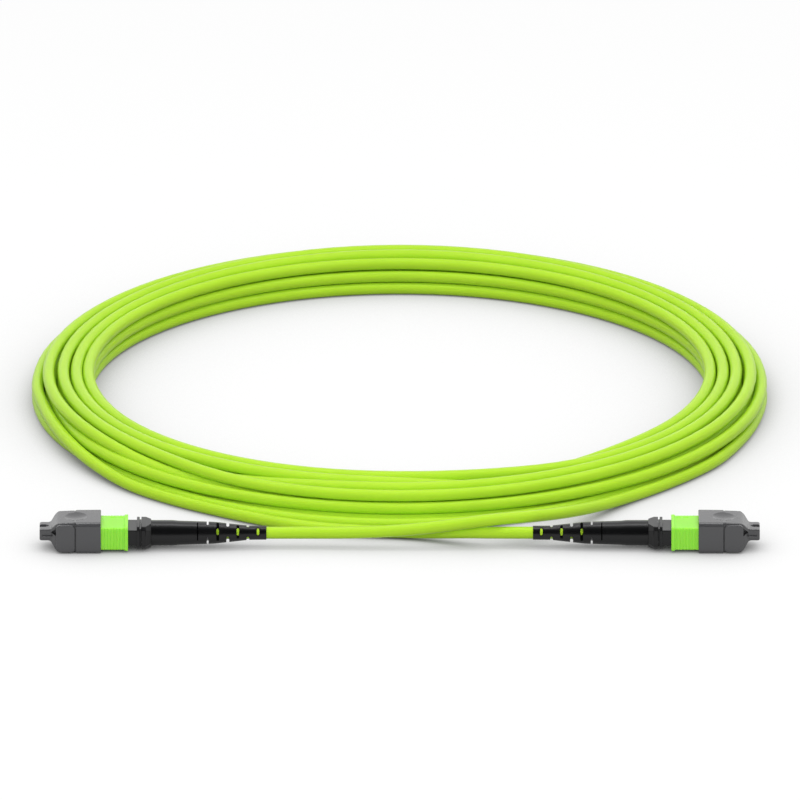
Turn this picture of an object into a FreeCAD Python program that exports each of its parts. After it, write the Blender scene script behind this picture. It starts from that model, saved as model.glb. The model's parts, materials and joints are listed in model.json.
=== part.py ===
"""A patch lead for fibre: one coiled round cable with a capped multi-fibre push-on plug at each end.

The lead lies on the floor. The origin is the floor point midway between the two plugs, +X runs through
the right plug towards the tip of its cap, +Y runs towards the coil and +Z is up. Each plug is built in a
frame of its own: its axis is X, the tip of the cap is at X = 0 and the rest lies behind it, towards -X.
A "station" is a distance behind the tip of the cap.
"""
import FreeCAD, Part
import math
import os

import Sketcher

# Driving sizes in millimetres. Widths run along Y and heights along Z.
SIZES = {
    # Where the plugs lie
    "half_span": 118.05,
    # Cable
    "cable_diameter": 4.0,
    "cable_gap": 0.06,
    "cable_inset": 0.6,
    # Dust cap: a small nose, a shoulder, a front half with flat pads and a rear half round the sleeve
    "cap_length": 20.1,
    "cap_width": 14.2,
    "cap_height": 9.75,
    "cap_corner": 1.5,
    "cap_rear_length": 8.2,
    "cap_grip": 7.7,
    "cap_gap": 0.12,
    "cap_front_drop": 0.25,
    "cap_front_lift": 0.2,
    "cap_front_width": 13.5,
    "cap_front_corner": 0.9,
    "cap_front_corner_step": 0.27,
    "pad_width": 14.0,
    "pad_length": 5.8,
    "pad_top": 3.7,
    "pad_bottom": 3.75,
    "pad_corner": 1.0,
    "pad_land": 0.25,
    "nose_length": 3.6,
    "nose_width": 8.0,
    "nose_height": 3.6,
    "nose_round": 0.7,
    "shoulder_run": 2.0,
    "shoulder_round": 3.0,
    "cheek_run": 2.1,
    "cheek_start": 0.1,
    "slot_width": 1.9,
    "slot_length": 2.9,
    "slot_floor": 0.5,
    "pocket_depth": 3.4,
    "pocket_wall": 0.75,
    "pocket_edge": 0.19,
    "pocket_lip": 0.375,
    "dimple_diameter": 6.8,
    "dimple_depth": 0.3,
    "dimple_station": 11.8,
    # Coupling sleeve
    "sleeve_length": 16.6,
    "sleeve_width": 12.4,
    "sleeve_height": 7.7,
    "sleeve_corner": 0.5,
    "sleeve_gap": 0.1,
    "flange_length": 1.2,
    "flange_lip": 0.3,
    "rib_count": 7,
    "rib_pitch": 1.07,
    "rib_groove": 0.4,
    "rib_depth": 0.12,
    "rib_height": 6.2,
    "rib_first": 0.9,
    "band_width": 8.6,
    "band_length": 1.9,
    "band_first": 3.0,
    "band_pitch": 2.4,
    "band_depth": 0.1,
    # Side springs that push the coupling sleeve forward
    "side_spring_diameter": 1.1,
    "side_spring_wire": 0.2,
    "side_spring_length": 8.0,
    "side_spring_turns": 6,
    "side_spring_station": 17.1,
    "side_spring_gap": 0.1,
    "side_spring_bite": 0.75,
    # Inner housing, the keyed plug nose
    "housing_length": 21.4,
    "housing_nose": 5.2,
    "housing_nose_step": 0.35,
    "housing_width": 10.4,
    "housing_height": 5.4,
    "housing_bore_width": 7.6,
    "housing_bore_height": 3.5,
    "key_width": 3.0,
    "key_height": 0.6,
    "key_setback": 0.6,
    "notch_setback": 1.9,
    "notch_length": 1.6,
    "notch_height": 2.4,
    "notch_depth": 0.5,
    "snap_width": 3.0,
    "snap_length": 1.3,
    "snap_setback": 1.6,
    "snap_gap": 0.08,
    # Ferrule group, pushed forward by the oval spring
    "ferrule_width": 6.4,
    "ferrule_height": 2.5,
    "ferrule_body": 5.6,
    "ferrule_proud": 0.8,
    "ferrule_gap": 0.05,
    "ferrule_seat_gap": 0.04,
    "ferrule_flange": 2.4,
    "ferrule_flange_width": 7.2,
    "ferrule_flange_height": 3.2,
    "window_width": 3.2,
    "window_length": 1.6,
    "window_setback": 3.0,
    "pin_diameter": 0.7,
    "pin_pitch": 4.6,
    "pin_proud": 2.0,
    "pin_taper": 0.4,
    "pin_gap": 0.02,
    "clamp_length": 1.4,
    "clamp_gap": 0.05,
    "tail_width": 3.7,
    "tail_height": 1.5,
    "tail_gap": 0.1,
    "tail_length": 6.2,
    "tail_depth": 2.2,
    "ribbon_width": 3.1,
    "ribbon_height": 0.32,
    "ribbon_gap": 0.08,
    "ribbon_length": 22.5,
    "ribbon_setback": 1.0,
    "oval_spring_width": 7.0,
    "oval_spring_height": 3.0,
    "oval_spring_wire": 0.35,
    "oval_spring_turns": 5,
    "spring_seat_gap": 0.06,
    # Spring push: snout, neck, ring, waist and crimp barrel in one moulding
    "snout_length": 5.6,
    "snout_gap": 0.15,
    "neck_show": 2.9,
    "ring_length": 0.9,
    "waist_length": 0.5,
    "waist_width": 9.4,
    "waist_height": 6.0,
    "head_width": 11.6,
    "head_height": 7.7,
    "head_chamfer": 1.15,
    "channel_width": 4.6,
    "channel_height": 1.7,
    "barrel_diameter": 5.0,
    "barrel_bore": 3.7,
    "barrel_length": 4.9,
    "barrel_gap": 0.03,
    # Crimp sleeve
    "crimp_wall": 0.55,
    "crimp_length": 8.2,
    "crimp_setback": 0.3,
    "crimp_step": 4.8,
    "crimp_stop_gap": 0.3,
    # Boot: an eight-sided head and a long slotted tail
    "boot_gap": 0.05,
    "boot_length": 37.75,
    "head_straight": 1.5,
    "head_taper": 1.8,
    "head_end_width": 8.7,
    "head_end_height": 7.75,
    "head_end_chamfer": 2.2,
    "boot_start_diameter": 8.05,
    "boot_ridge_diameter": 7.9,
    "boot_ridge_at": 7.0,
    "boot_step_diameter": 7.45,
    "boot_step_at": 9.0,
    "boot_waist_diameter": 6.85,
    "boot_waist_at": 18.2,
    "boot_mouth_diameter": 4.75,
    "boot_mouth_at": 31.5,
    "boot_slot_first": 15.2,
    "boot_slot_pitch": 3.3,
    "boot_slot_floor": 1.35,
    "boot_slot_fine": 0.45,
    "boot_slot_middle": 0.7,
    "boot_slot_wide": 1.0,
    # Coil of cable
    "coil_centre": 138.3,
    "coil_inner_radius": 99.3,
    "coil_outer_radius": 121.0,
    "coil_top_inner_radius": 102.0,
    "coil_top_outer_radius": 118.3,
    "coil_height": 12.7,
    "coil_shoulder": 4.0,
}
BOOT_SLOT_TURN = 30.0  # degrees that the boot's slots are turned about the plug's axis

# Routes of the two free leads, by hand: (X, Y, Z) of each corner. The first is worked out from the boot.
LEFT_ROUTE = [
    (-30.0, 0.0, 4.875),
    (-16.0, -0.6, 5.1),
    (-3.0, -0.8, 5.7),
    (9.0, -0.7, 6.7),
    (20.0, -0.1, 8.0),
    (29.5, 0.8, 9.1),
    (38.5, 3.4, 8.9),
    (47.0, 9.0, 7.6),
    (56.0, 17.2, 5.8),
    (65.0, 28.2, 3.6),
    (75.0, 40.6, 2.1),
    (86.0, 51.6, 2.0),
    (97.5, 66.2, 2.0),
    (108.5, 84.5, 2.0),
]
RIGHT_ROUTE = [
    (33.0, 0.0, 4.875),
    (22.0, 2.5, 4.1),
    (11.0, 5.9, 2.7),
    (0.0, 8.3, 2.05),
    (-12.0, 9.4, 2.0),
    (-24.0, 11.4, 2.0),
    (-36.0, 15.4, 2.0),
    (-48.0, 21.6, 2.0),
    (-60.0, 28.9, 2.0),
    (-72.0, 36.9, 2.0),
    (-84.0, 47.1, 2.0),
    (-96.5, 61.8, 2.0),
    (-107.5, 80.5, 2.0),
]


# ------------------------------------------------------------------ sizes that stay bound to the sheet
def number_of(length):
    return length.number if isinstance(length, Size) else float(length)


def formula_of(length):
    return length.formula if isinstance(length, Size) else repr(float(length))


class Size:
    """A length that knows its number and the sheet formula that gives it."""

    def __init__(self, number, formula):
        self.number = number
        self.formula = formula

    def __add__(self, other):
        return Size(self.number + number_of(other), f"({self.formula} + {formula_of(other)})")

    def __sub__(self, other):
        return Size(self.number - number_of(other), f"({self.formula} - {formula_of(other)})")

    def __mul__(self, factor):
        return Size(self.number * number_of(factor), f"({self.formula} * {formula_of(factor)})")

    def __truediv__(self, divisor):
        return Size(self.number / number_of(divisor), f"({self.formula} / {formula_of(divisor)})")

    def __neg__(self):
        return Size(-self.number, f"(0 - {self.formula})")


def make_sheet(doc):
    """Write the driving sizes to a spreadsheet and return them as bound lengths."""
    sheet = doc.addObject("Spreadsheet::Sheet", "Sizes")
    bound = {}
    for row, (name, value) in enumerate(SIZES.items(), 1):
        sheet.set(f"A{row}", name)
        sheet.set(f"B{row}", str(value))
        sheet.setAlias(f"B{row}", name)
        bound[name] = Size(float(value), f"Sizes.{name}")
    doc.recompute()
    return bound


doc = FreeCAD.newDocument("patch_lead")
S = make_sheet(doc)
parts = {}


def clear(length, gap):
    """A hole's size: what goes in, and the gap on both sides."""
    return length + gap * 2


# Stations along the plug, each from the one before it
SLEEVE_FRONT = S["cap_length"] - S["cap_grip"]
SLEEVE_REAR = SLEEVE_FRONT + S["sleeve_length"]
HOUSING_FRONT = SLEEVE_FRONT - S["housing_nose"]
HOUSING_REAR = HOUSING_FRONT + S["housing_length"]
FERRULE_FRONT = HOUSING_FRONT - S["ferrule_proud"]
FLANGE_FRONT = FERRULE_FRONT + S["ferrule_body"]
FERRULE_REAR = FLANGE_FRONT + S["ferrule_flange"]
PIN_FRONT = FERRULE_FRONT - S["pin_proud"]
CLAMP_FRONT = FERRULE_REAR + S["clamp_gap"]
CLAMP_REAR = CLAMP_FRONT + S["clamp_length"]
TAIL_FRONT = FERRULE_REAR - S["tail_depth"]
RIBBON_FRONT = TAIL_FRONT + S["ribbon_setback"]
SNOUT_FRONT = HOUSING_REAR - S["snout_length"]
RING_FRONT = SLEEVE_REAR + S["neck_show"]
RING_REAR = RING_FRONT + S["ring_length"]
WAIST_REAR = RING_REAR + S["waist_length"]
BARREL_REAR = WAIST_REAR + S["barrel_length"]
CRIMP_FRONT = WAIST_REAR + S["crimp_setback"]
CRIMP_STEP = CRIMP_FRONT + S["crimp_step"]
CRIMP_REAR = CRIMP_FRONT + S["crimp_length"]
BOOT_FRONT = WAIST_REAR + S["boot_gap"]
BOOT_START = WAIST_REAR + S["head_straight"] + S["head_taper"]
BOOT_MOUTH = BOOT_START + S["boot_length"]
CABLE_FRONT = CRIMP_STEP + S["crimp_stop_gap"]
CABLE_REAR = BOOT_MOUTH - S["cable_inset"]
AXIS_HEIGHT = S["cap_height"] / 2
HOUSING_NOSE_WIDTH = S["housing_width"] - S["housing_nose_step"] * 2
CABLE_BORE = clear(S["cable_diameter"], S["cable_gap"])
CRIMP_BORE = clear(S["barrel_diameter"], S["barrel_gap"])
CRIMP_OUTSIDE = CRIMP_BORE + S["crimp_wall"] * 2


class Side:
    """One end of the lead: its name, the X of the cap's tip and how the plug is turned."""

    def __init__(self, name, tip, degrees, slot_turn):
        self.name = name
        self.tip = tip
        self.turn = FreeCAD.Rotation(FreeCAD.Vector(0, 0, 1), degrees)
        self.slot_turn = slot_turn


SIDES = [
    Side("right", S["half_span"], 0, BOOT_SLOT_TURN),
    Side("left", -S["half_span"], 180, -BOOT_SLOT_TURN),
]


def settle(thing, name, side):
    """Name a finished sub-part and lay it on its side of the lead, at the height of the plug's axis."""
    thing.Placement = FreeCAD.Placement(FreeCAD.Vector(), side.turn)
    thing.setExpression("Placement.Base.x", side.tip.formula)
    thing.setExpression("Placement.Base.z", AXIS_HEIGHT.formula)
    thing.Label = f"{name}_{side.name}"
    parts[thing.Label] = thing


# ------------------------------------------------------------------ sketches and features
def sketch_on(body, name, role, lift):
    """A sketch on one of the body's own planes, moved along the plane's normal by lift."""
    sketch = body.newObject("Sketcher::SketchObject", name)
    plane = [feature for feature in body.Origin.OriginFeatures if feature.Role == role][0]
    sketch.AttachmentSupport = [(plane, "")]
    sketch.MapMode = "FlatFace"
    sketch.setExpression("AttachmentOffset.Base.z", formula_of(lift))
    return sketch


def hold(sketch, geometry, point, across, up):
    """Fix a point of a sketch by its two distances from the sketch's origin."""
    for kind, length in (("DistanceX", across), ("DistanceY", up)):
        rule = sketch.addConstraint(Sketcher.Constraint(kind, -1, 1, geometry, point, number_of(length)))
        sketch.setExpression(f"Constraints[{rule}]", formula_of(length))


def draw_outline(sketch, corners):
    """Close straight lines through the corners."""
    spots = [FreeCAD.Vector(number_of(across), number_of(up), 0) for across, up in corners]
    lines = [
        sketch.addGeometry(Part.LineSegment(spot, spots[(n + 1) % len(spots)]))
        for n, spot in enumerate(spots)
    ]
    for n, line in enumerate(lines):
        sketch.addConstraint(Sketcher.Constraint("Coincident", line, 2, lines[(n + 1) % len(lines)], 1))
        hold(sketch, line, 1, *corners[n])


def draw_circle(sketch, diameter, across=0.0, up=0.0):
    centre = FreeCAD.Vector(number_of(across), number_of(up), 0)
    circle = sketch.addGeometry(Part.Circle(centre, FreeCAD.Vector(0, 0, 1), number_of(diameter) / 2))
    hold(sketch, circle, 3, across, up)
    rule = sketch.addConstraint(Sketcher.Constraint("Diameter", circle, number_of(diameter)))
    sketch.setExpression(f"Constraints[{rule}]", formula_of(diameter))


def draw_blind_slot(sketch, centre, width, floor, far):
    """A slot across the axis: a round end at floor, open beyond far, which may lie on either side."""
    left = centre - width / 2
    right = centre + width / 2
    upward = number_of(far) > 0
    bend = floor + width / 2 if upward else floor - width / 2
    corners = [(left, bend), (left, far), (right, far), (right, bend)]
    spots = [FreeCAD.Vector(number_of(across), number_of(up), 0) for across, up in corners]
    lines = [sketch.addGeometry(Part.LineSegment(a, b)) for a, b in zip(spots, spots[1:])]
    middle_spot = FreeCAD.Vector(number_of(centre), number_of(bend), 0)
    circle = Part.Circle(middle_spot, FreeCAD.Vector(0, 0, 1), number_of(width) / 2)
    first_angle = math.pi if upward else 0.0
    arc = sketch.addGeometry(Part.ArcOfCircle(circle, first_angle, first_angle + math.pi))
    at_left, at_right = (1, 2) if upward else (2, 1)
    for line, following in zip(lines, lines[1:]):
        sketch.addConstraint(Sketcher.Constraint("Coincident", line, 2, following, 1))
    for line, corner in zip(lines, corners):
        hold(sketch, line, 1, *corner)
    hold(sketch, lines[2], 2, *corners[3])
    sketch.addConstraint(Sketcher.Constraint("Coincident", arc, at_left, lines[0], 1))
    sketch.addConstraint(Sketcher.Constraint("Coincident", arc, at_right, lines[2], 2))
    rule = sketch.addConstraint(Sketcher.Constraint("DistanceY", -1, 1, arc, 3, number_of(bend)))
    sketch.setExpression(f"Constraints[{rule}]", formula_of(bend))


def box_corners(width, height, across=0.0, up=0.0):
    """The corners of a rectangle round a centre."""
    half_width = width / 2
    half_height = height / 2
    return [
        (-half_width + across, -half_height + up),
        (half_width + across, -half_height + up),
        (half_width + across, half_height + up),
        (-half_width + across, half_height + up),
    ]


def span_corners(front, rear, low, high):
    """The corners of a rectangle between two stations, seen from the side or from above."""
    return [(-rear, low), (-front, low), (-front, high), (-rear, high)]


def eight_corners(width, height, chamfer):
    """The corners of a rectangle with cut-off corners."""
    x, y = width / 2, height / 2
    near_x, near_y = x - chamfer, y - chamfer
    return [
        (-near_x, -y), (near_x, -y), (x, -near_y), (x, near_y),
        (near_x, y), (-near_x, y), (-x, near_y), (-x, -near_y),
    ]


def extrude(body, kind, sketch, length=None, symmetric=False, reversed_way=False):
    """A Pad or Pocket. With no length a Pocket cuts through everything, both ways."""
    feature = body.newObject(f"PartDesign::{kind}", f"{sketch.Name}_{kind}")
    feature.Profile = sketch
    if length is None:
        feature.Type = "ThroughAll"
    else:
        feature.setExpression("Length", formula_of(length))
    feature.SideType = "Symmetric" if symmetric or length is None else "One side"
    feature.Reversed = reversed_way
    body.Tip = feature
    return feature


def pad_along(body, name, corners, start, length):
    """Material with one section along the plug, from a station backwards."""
    sketch = sketch_on(body, name, "YZ_Plane", -start)
    draw_outline(sketch, corners)
    return extrude(body, "Pad", sketch, length, reversed_way=True)


def cut_along(body, name, corners, start, length):
    """A straight passage with one section along the plug, from a station backwards."""
    sketch = sketch_on(body, name, "YZ_Plane", -start)
    draw_outline(sketch, corners)
    return extrude(body, "Pocket", sketch, length)


def pad_round(body, name, diameter, start, length):
    sketch = sketch_on(body, name, "YZ_Plane", -start)
    draw_circle(sketch, diameter)
    return extrude(body, "Pad", sketch, length, reversed_way=True)


def cut_round(body, name, spots, diameter, start, length):
    """Round holes along the plug, at the given places across it."""
    sketch = sketch_on(body, name, "YZ_Plane", -start)
    for across, up in spots:
        draw_circle(sketch, diameter, across, up)
    return extrude(body, "Pocket", sketch, length)


def cut_across(body, name, role, outlines, lift=0.0, length=None):
    """A cut square to a plane: through everything, or from the lifted plane by a length."""
    sketch = sketch_on(body, name, role, lift)
    for corners in outlines:
        draw_outline(sketch, corners)
    return extrude(body, "Pocket", sketch, length)


def round_edges(body, name, radius, wanted):
    """Round the edges of the body that the test picks."""
    doc.recompute()
    base = body.Tip
    edges = [f"Edge{n}" for n, edge in enumerate(base.Shape.Edges, 1) if wanted(edge)]
    fillet = body.newObject("PartDesign::Fillet", name)
    fillet.Base = (base, edges)
    fillet.setExpression("Radius", radius.formula)
    body.Tip = fillet
    return fillet


def runs(edge, axis):
    """True for a straight edge along one axis."""
    if not isinstance(edge.Curve, Part.Line):
        return False
    direction = edge.Curve.Direction
    return abs(abs(getattr(direction, axis)) - 1) < 1e-6


def middle(edge):
    return edge.valueAt((edge.FirstParameter + edge.LastParameter) / 2)


# ------------------------------------------------------------------ dust cap
def cap_profile(body):
    """The cap's side view: nose, sloping shoulder and front half, with the shoulder's large round."""
    top = AXIS_HEIGHT - S["cap_front_drop"]
    bottom = -AXIS_HEIGHT + S["cap_front_lift"]
    nose = S["nose_height"] / 2
    neck = S["nose_length"]
    crest = neck + S["shoulder_run"]
    rear = S["cap_length"]
    corners = [
        (0.0, -nose), (0.0, nose), (-neck, nose), (-crest, top),
        (-rear, top), (-rear, bottom), (-crest, bottom), (-neck, -nose),
    ]
    sketch = sketch_on(body, "profile", "XZ_Plane", 0.0)
    draw_outline(sketch, corners)
    extrude(body, "Pad", sketch, S["cap_front_width"], symmetric=True)
    at_crest = crest.number
    round_edges(
        body, "shoulder_rounds", S["shoulder_round"],
        lambda edge: runs(edge, "y") and abs(middle(edge).x + at_crest) < 0.01,
    )


def cap_front_corners(body):
    """Take the four long edges off the front half, each with two small flats."""
    size = S["cap_front_corner"]
    step = S["cap_front_corner_step"]
    side = S["cap_front_width"] / 2
    top = AXIS_HEIGHT - S["cap_front_drop"]
    bottom = -AXIS_HEIGHT + S["cap_front_lift"]
    for level, up, place in ((top, 1, "top"), (bottom, -1, "bottom")):
        for out, hand in ((1, "far"), (-1, "near")):
            corners = [
                ((side - size) * out, level),
                ((side - step) * out, level - step * up),
                (side * out, level - size * up),
                ((side + size) * out, level - size * up),
                ((side + size) * out, level + size * up),
                ((side - size) * out, level + size * up),
            ]
            length = S["cap_length"] - S["cap_rear_length"]
            cut_along(body, f"corner_{place}_{hand}", corners, S["cheek_start"], length - S["cheek_start"])


def cap_cheeks(body):
    """Cut the front corners back in plan, so that the sides sweep from the nose out to the front half."""
    outer = S["cap_front_width"]
    inner = S["nose_width"] / 2
    start = S["nose_length"] + S["cheek_start"]
    end = start + S["cheek_run"]
    for sign, name in ((1, "cheek_far"), (-1, "cheek_near")):
        corners = [
            (S["cheek_start"], inner * sign),
            (-start, inner * sign),
            (-end, outer / 2 * sign),
            (-end, outer * sign),
            (S["cheek_start"], outer * sign),
        ]
        cut_across(body, name, "XY_Plane", [corners])


def cap_tip_rounds(body):
    """Round the edges round the flat tip of the nose."""
    round_edges(
        body, "tip_rounds", S["nose_round"], lambda edge: abs(middle(edge).x) < 0.01 and not runs(edge, "x")
    )


def cap_recesses(body):
    """Three-cornered pockets beside the nose, under the shoulder, one on each side."""
    wall = S["pocket_wall"]
    nose_top = S["nose_height"] / 2
    front = S["nose_length"] + S["pocket_edge"]
    rear = front + S["cheek_run"]
    crest = nose_top + S["shoulder_run"] - S["pocket_lip"]
    corners = [(-front, nose_top - wall), (-rear, crest), (-rear, S["pocket_edge"])]
    reach = S["cap_front_width"] / 2
    for sign, name in ((1, "recess_far"), (-1, "recess_near")):
        sketch = sketch_on(body, name, "XZ_Plane", -reach * sign)
        draw_outline(sketch, corners)
        extrude(body, "Pocket", sketch, S["pocket_depth"], reversed_way=sign > 0)


def cap_rear_half(body):
    """The rear half, round the coupling sleeve, with rounded long edges."""
    start = S["cap_length"] - S["cap_rear_length"]
    pad_along(body, "rear_half", box_corners(S["cap_width"], S["cap_height"]), start, S["cap_rear_length"])
    reach = S["cap_width"].number / 2
    round_edges(
        body, "rear_corners", S["cap_corner"],
        lambda edge: runs(edge, "x") and abs(abs(middle(edge).y) - reach) < 0.01,
    )


def cap_pads(body):
    """Flat finger pads, a little proud of the sides of the front half."""
    rear = S["cap_length"] - S["cap_rear_length"] - S["pad_land"]
    corners = span_corners(rear - S["pad_length"], rear, -S["pad_bottom"], S["pad_top"])
    sketch = sketch_on(body, "pads", "XZ_Plane", 0.0)
    draw_outline(sketch, corners)
    extrude(body, "Pad", sketch, S["pad_width"], symmetric=True)
    reach = S["pad_width"].number / 2
    front = (rear - S["pad_length"]).number
    round_edges(
        body, "pad_corners", S["pad_corner"],
        lambda edge: runs(edge, "y") and abs(middle(edge).x + front) < 0.01 and abs(middle(edge).y) < reach
        and abs(middle(edge).y) > S["cap_front_width"].number / 2,
    )


def cap_hollow(body):
    """The stepped hollow: sleeve, plug nose, ferrule face and the tips of the guide pins."""
    gap = S["cap_gap"]
    sleeve = box_corners(clear(S["sleeve_width"], gap), clear(S["sleeve_height"], gap))
    cut_along(body, "sleeve_room", sleeve, SLEEVE_FRONT - gap, S["cap_length"])
    nose = box_corners(clear(HOUSING_NOSE_WIDTH, gap), clear(S["housing_height"], gap))
    cut_along(body, "housing_room", nose, HOUSING_FRONT - gap, S["housing_nose"] + gap * 2)
    key_top = S["housing_height"] + S["key_height"] * 2
    key = box_corners(clear(S["key_width"], gap), clear(key_top, gap))
    cut_along(body, "key_room", key, HOUSING_FRONT - gap, S["housing_nose"] + gap * 2)
    face = box_corners(clear(S["ferrule_width"], gap * 2), clear(S["ferrule_height"], gap * 2))
    cut_along(body, "ferrule_room", face, FERRULE_FRONT - gap * 2, S["ferrule_proud"] + gap * 3)
    spots = [(S["pin_pitch"] / 2, 0.0), (-S["pin_pitch"] / 2, 0.0)]
    hole = clear(S["pin_diameter"], gap * 2)
    cut_round(body, "pin_room", spots, hole, PIN_FRONT - gap * 2, S["pin_proud"] + gap * 2)


def cap_nose_slot(body):
    """A short slot in the top of the nose, open at the tip, with a round inner end."""
    sketch = sketch_on(body, "nose_slot", "XY_Plane", S["nose_height"] / 2)
    width = S["slot_width"]
    end = S["slot_length"] - width / 2
    draw_outline(sketch, span_corners(-width, end, -width / 2, width / 2))
    extrude(body, "Pocket", sketch, S["nose_height"] / 2 + S["slot_floor"])
    round_end = sketch_on(body, "nose_slot_end", "XY_Plane", S["nose_height"] / 2)
    draw_circle(round_end, width, -end, 0.0)
    extrude(body, "Pocket", round_end, S["nose_height"] / 2 + S["slot_floor"])


def cap_dimple(body):
    """A shallow round thumb dimple in the top, cut by a large ball."""
    plane = [feature for feature in body.Origin.OriginFeatures if feature.Role == "XY_Plane"][0]
    ball = body.newObject("PartDesign::SubtractiveSphere", "thumb_dimple")
    ball.AttachmentSupport = [(plane, "")]
    ball.MapMode = "FlatFace"
    rim = S["dimple_diameter"] / 2
    depth = S["dimple_depth"]
    radius = (rim * rim + depth * depth) / (depth * 2)
    top = AXIS_HEIGHT - S["cap_front_drop"]
    ball.setExpression("Radius", radius.formula)
    ball.setExpression("AttachmentOffset.Base.x", (-S["dimple_station"]).formula)
    ball.setExpression("AttachmentOffset.Base.z", (top + radius - depth).formula)
    body.Tip = ball


def make_dust_cap(side):
    body = doc.addObject("PartDesign::Body", f"dust_cap_{side.name}")
    cap_rear_half(body)
    cap_profile(body)
    cap_front_corners(body)
    cap_cheeks(body)
    cap_tip_rounds(body)
    cap_pads(body)
    cap_recesses(body)
    cap_nose_slot(body)
    cap_dimple(body)
    cap_hollow(body)
    settle(body, "dust_cap", side)


# ------------------------------------------------------------------ coupling sleeve and its springs
def spring_room(body, name, floor_gap):
    """Side pockets for the springs, from the plug's middle out to the springs' outer edge."""
    reach = S["housing_width"] / 2 - S["side_spring_bite"] + S["side_spring_diameter"] + floor_gap
    height = clear(S["side_spring_diameter"], S["side_spring_gap"])
    start = S["side_spring_station"] - S["side_spring_gap"]
    length = S["side_spring_length"] + S["side_spring_gap"] * 2
    cut_along(body, name, box_corners(reach * 2, height), start, length)


def make_coupling_sleeve(side):
    body = doc.addObject("PartDesign::Body", f"coupling_sleeve_{side.name}")
    width, height = S["sleeve_width"], S["sleeve_height"]
    pad_along(body, "sleeve", box_corners(width, height), SLEEVE_FRONT, S["sleeve_length"])
    round_edges(body, "sleeve_corners", S["sleeve_corner"], lambda edge: runs(edge, "x"))
    lip = S["flange_lip"]
    flange_start = SLEEVE_REAR - S["flange_length"]
    flange = eight_corners(clear(width, lip), clear(height, lip), S["sleeve_corner"])
    pad_along(body, "flange", flange, flange_start, S["flange_length"])
    gap = S["sleeve_gap"]
    opening = box_corners(clear(S["housing_width"], gap), clear(S["housing_height"], gap))
    cut_along(body, "opening", opening, SLEEVE_FRONT, S["sleeve_length"])
    key_top = S["housing_height"] + S["key_height"] * 2
    cut_along(
        body, "key_channel", box_corners(clear(S["key_width"], gap), clear(key_top, gap)), SLEEVE_FRONT,
        S["sleeve_length"],
    )
    spring_room(body, "spring_room", S["side_spring_gap"])
    ribs = []
    first = S["cap_length"] + S["rib_first"]
    for n in range(int(S["rib_count"].number)):
        at = first + S["rib_pitch"] * n
        ribs.append(span_corners(at, at + S["rib_groove"], -S["rib_height"] / 2, S["rib_height"] / 2))
    outside = width / 2
    for sign, name in ((1, "ribs_far"), (-1, "ribs_near")):
        sketch = sketch_on(body, name, "XZ_Plane", -outside * sign)
        for corners in ribs:
            draw_outline(sketch, corners)
        extrude(body, "Pocket", sketch, S["rib_depth"], reversed_way=sign > 0)
    bands = []
    for n in range(2):
        at = S["cap_length"] + S["band_first"] + S["band_pitch"] * n
        bands.append(span_corners(at, at + S["band_length"], -S["band_width"] / 2, S["band_width"] / 2))
    cut_across(body, "top_bands", "XY_Plane", bands, height / 2, S["band_depth"])
    settle(body, "coupling_sleeve", side)


def racetrack(turn, half_straight, radius):
    """A point on a stadium-shaped loop after a share of a turn, and the outward direction there."""
    angle = 2 * math.pi * turn
    out = FreeCAD.Vector(0, math.cos(angle), math.sin(angle))
    shift = half_straight if math.cos(angle) >= 0 else -half_straight
    return FreeCAD.Vector(0, shift, 0) + out * radius, out


def spring_solid(start, length, turns, wire, half_straight, radius, across=0.0, steps=16):
    """A spring of square wire along the plug: flat-sided links joined end to end round a stadium."""
    rings = []
    count = int(turns * steps)
    for n in range(count + 1):
        spot, out = racetrack(n / steps, half_straight, radius)
        run = length - wire
        centre = FreeCAD.Vector(-start - wire / 2 - run * n / count, across + spot.y, spot.z)
        along = FreeCAD.Vector(wire / 2, 0, 0)
        outward = out * (wire / 2)
        rings.append([centre + along + outward, centre + along - outward,
                      centre - along - outward, centre - along + outward])
    faces = [Part.Face(Part.makePolygon(ring + ring[:1])) for ring in (rings[0], rings[-1])]
    for ring, following in zip(rings, rings[1:]):
        for n in range(4):
            a, b = ring[n], ring[(n + 1) % 4]
            c, d = following[(n + 1) % 4], following[n]
            faces.append(Part.Face(Part.makePolygon([a, b, c, a])))
            faces.append(Part.Face(Part.makePolygon([a, c, d, a])))
    solid = Part.makeSolid(Part.makeShell(faces))
    if solid.Volume < 0:
        solid.reverse()
    return solid


def make_coupling_springs(side):
    wire = S["side_spring_wire"].number
    radius = (S["side_spring_diameter"].number - wire) / 2
    inner_edge = S["housing_width"].number / 2 - S["side_spring_bite"].number
    centre = inner_edge + S["side_spring_diameter"].number / 2
    springs = [
        spring_solid(
            S["side_spring_station"].number, S["side_spring_length"].number,
            S["side_spring_turns"].number, wire,
            0.0, radius, across, 10,
        )
        for across in (centre, -centre)
    ]
    feature = doc.addObject("Part::Feature", f"coupling_springs_{side.name}")
    feature.Shape = Part.makeCompound(springs)
    settle(feature, "coupling_springs", side)


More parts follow.
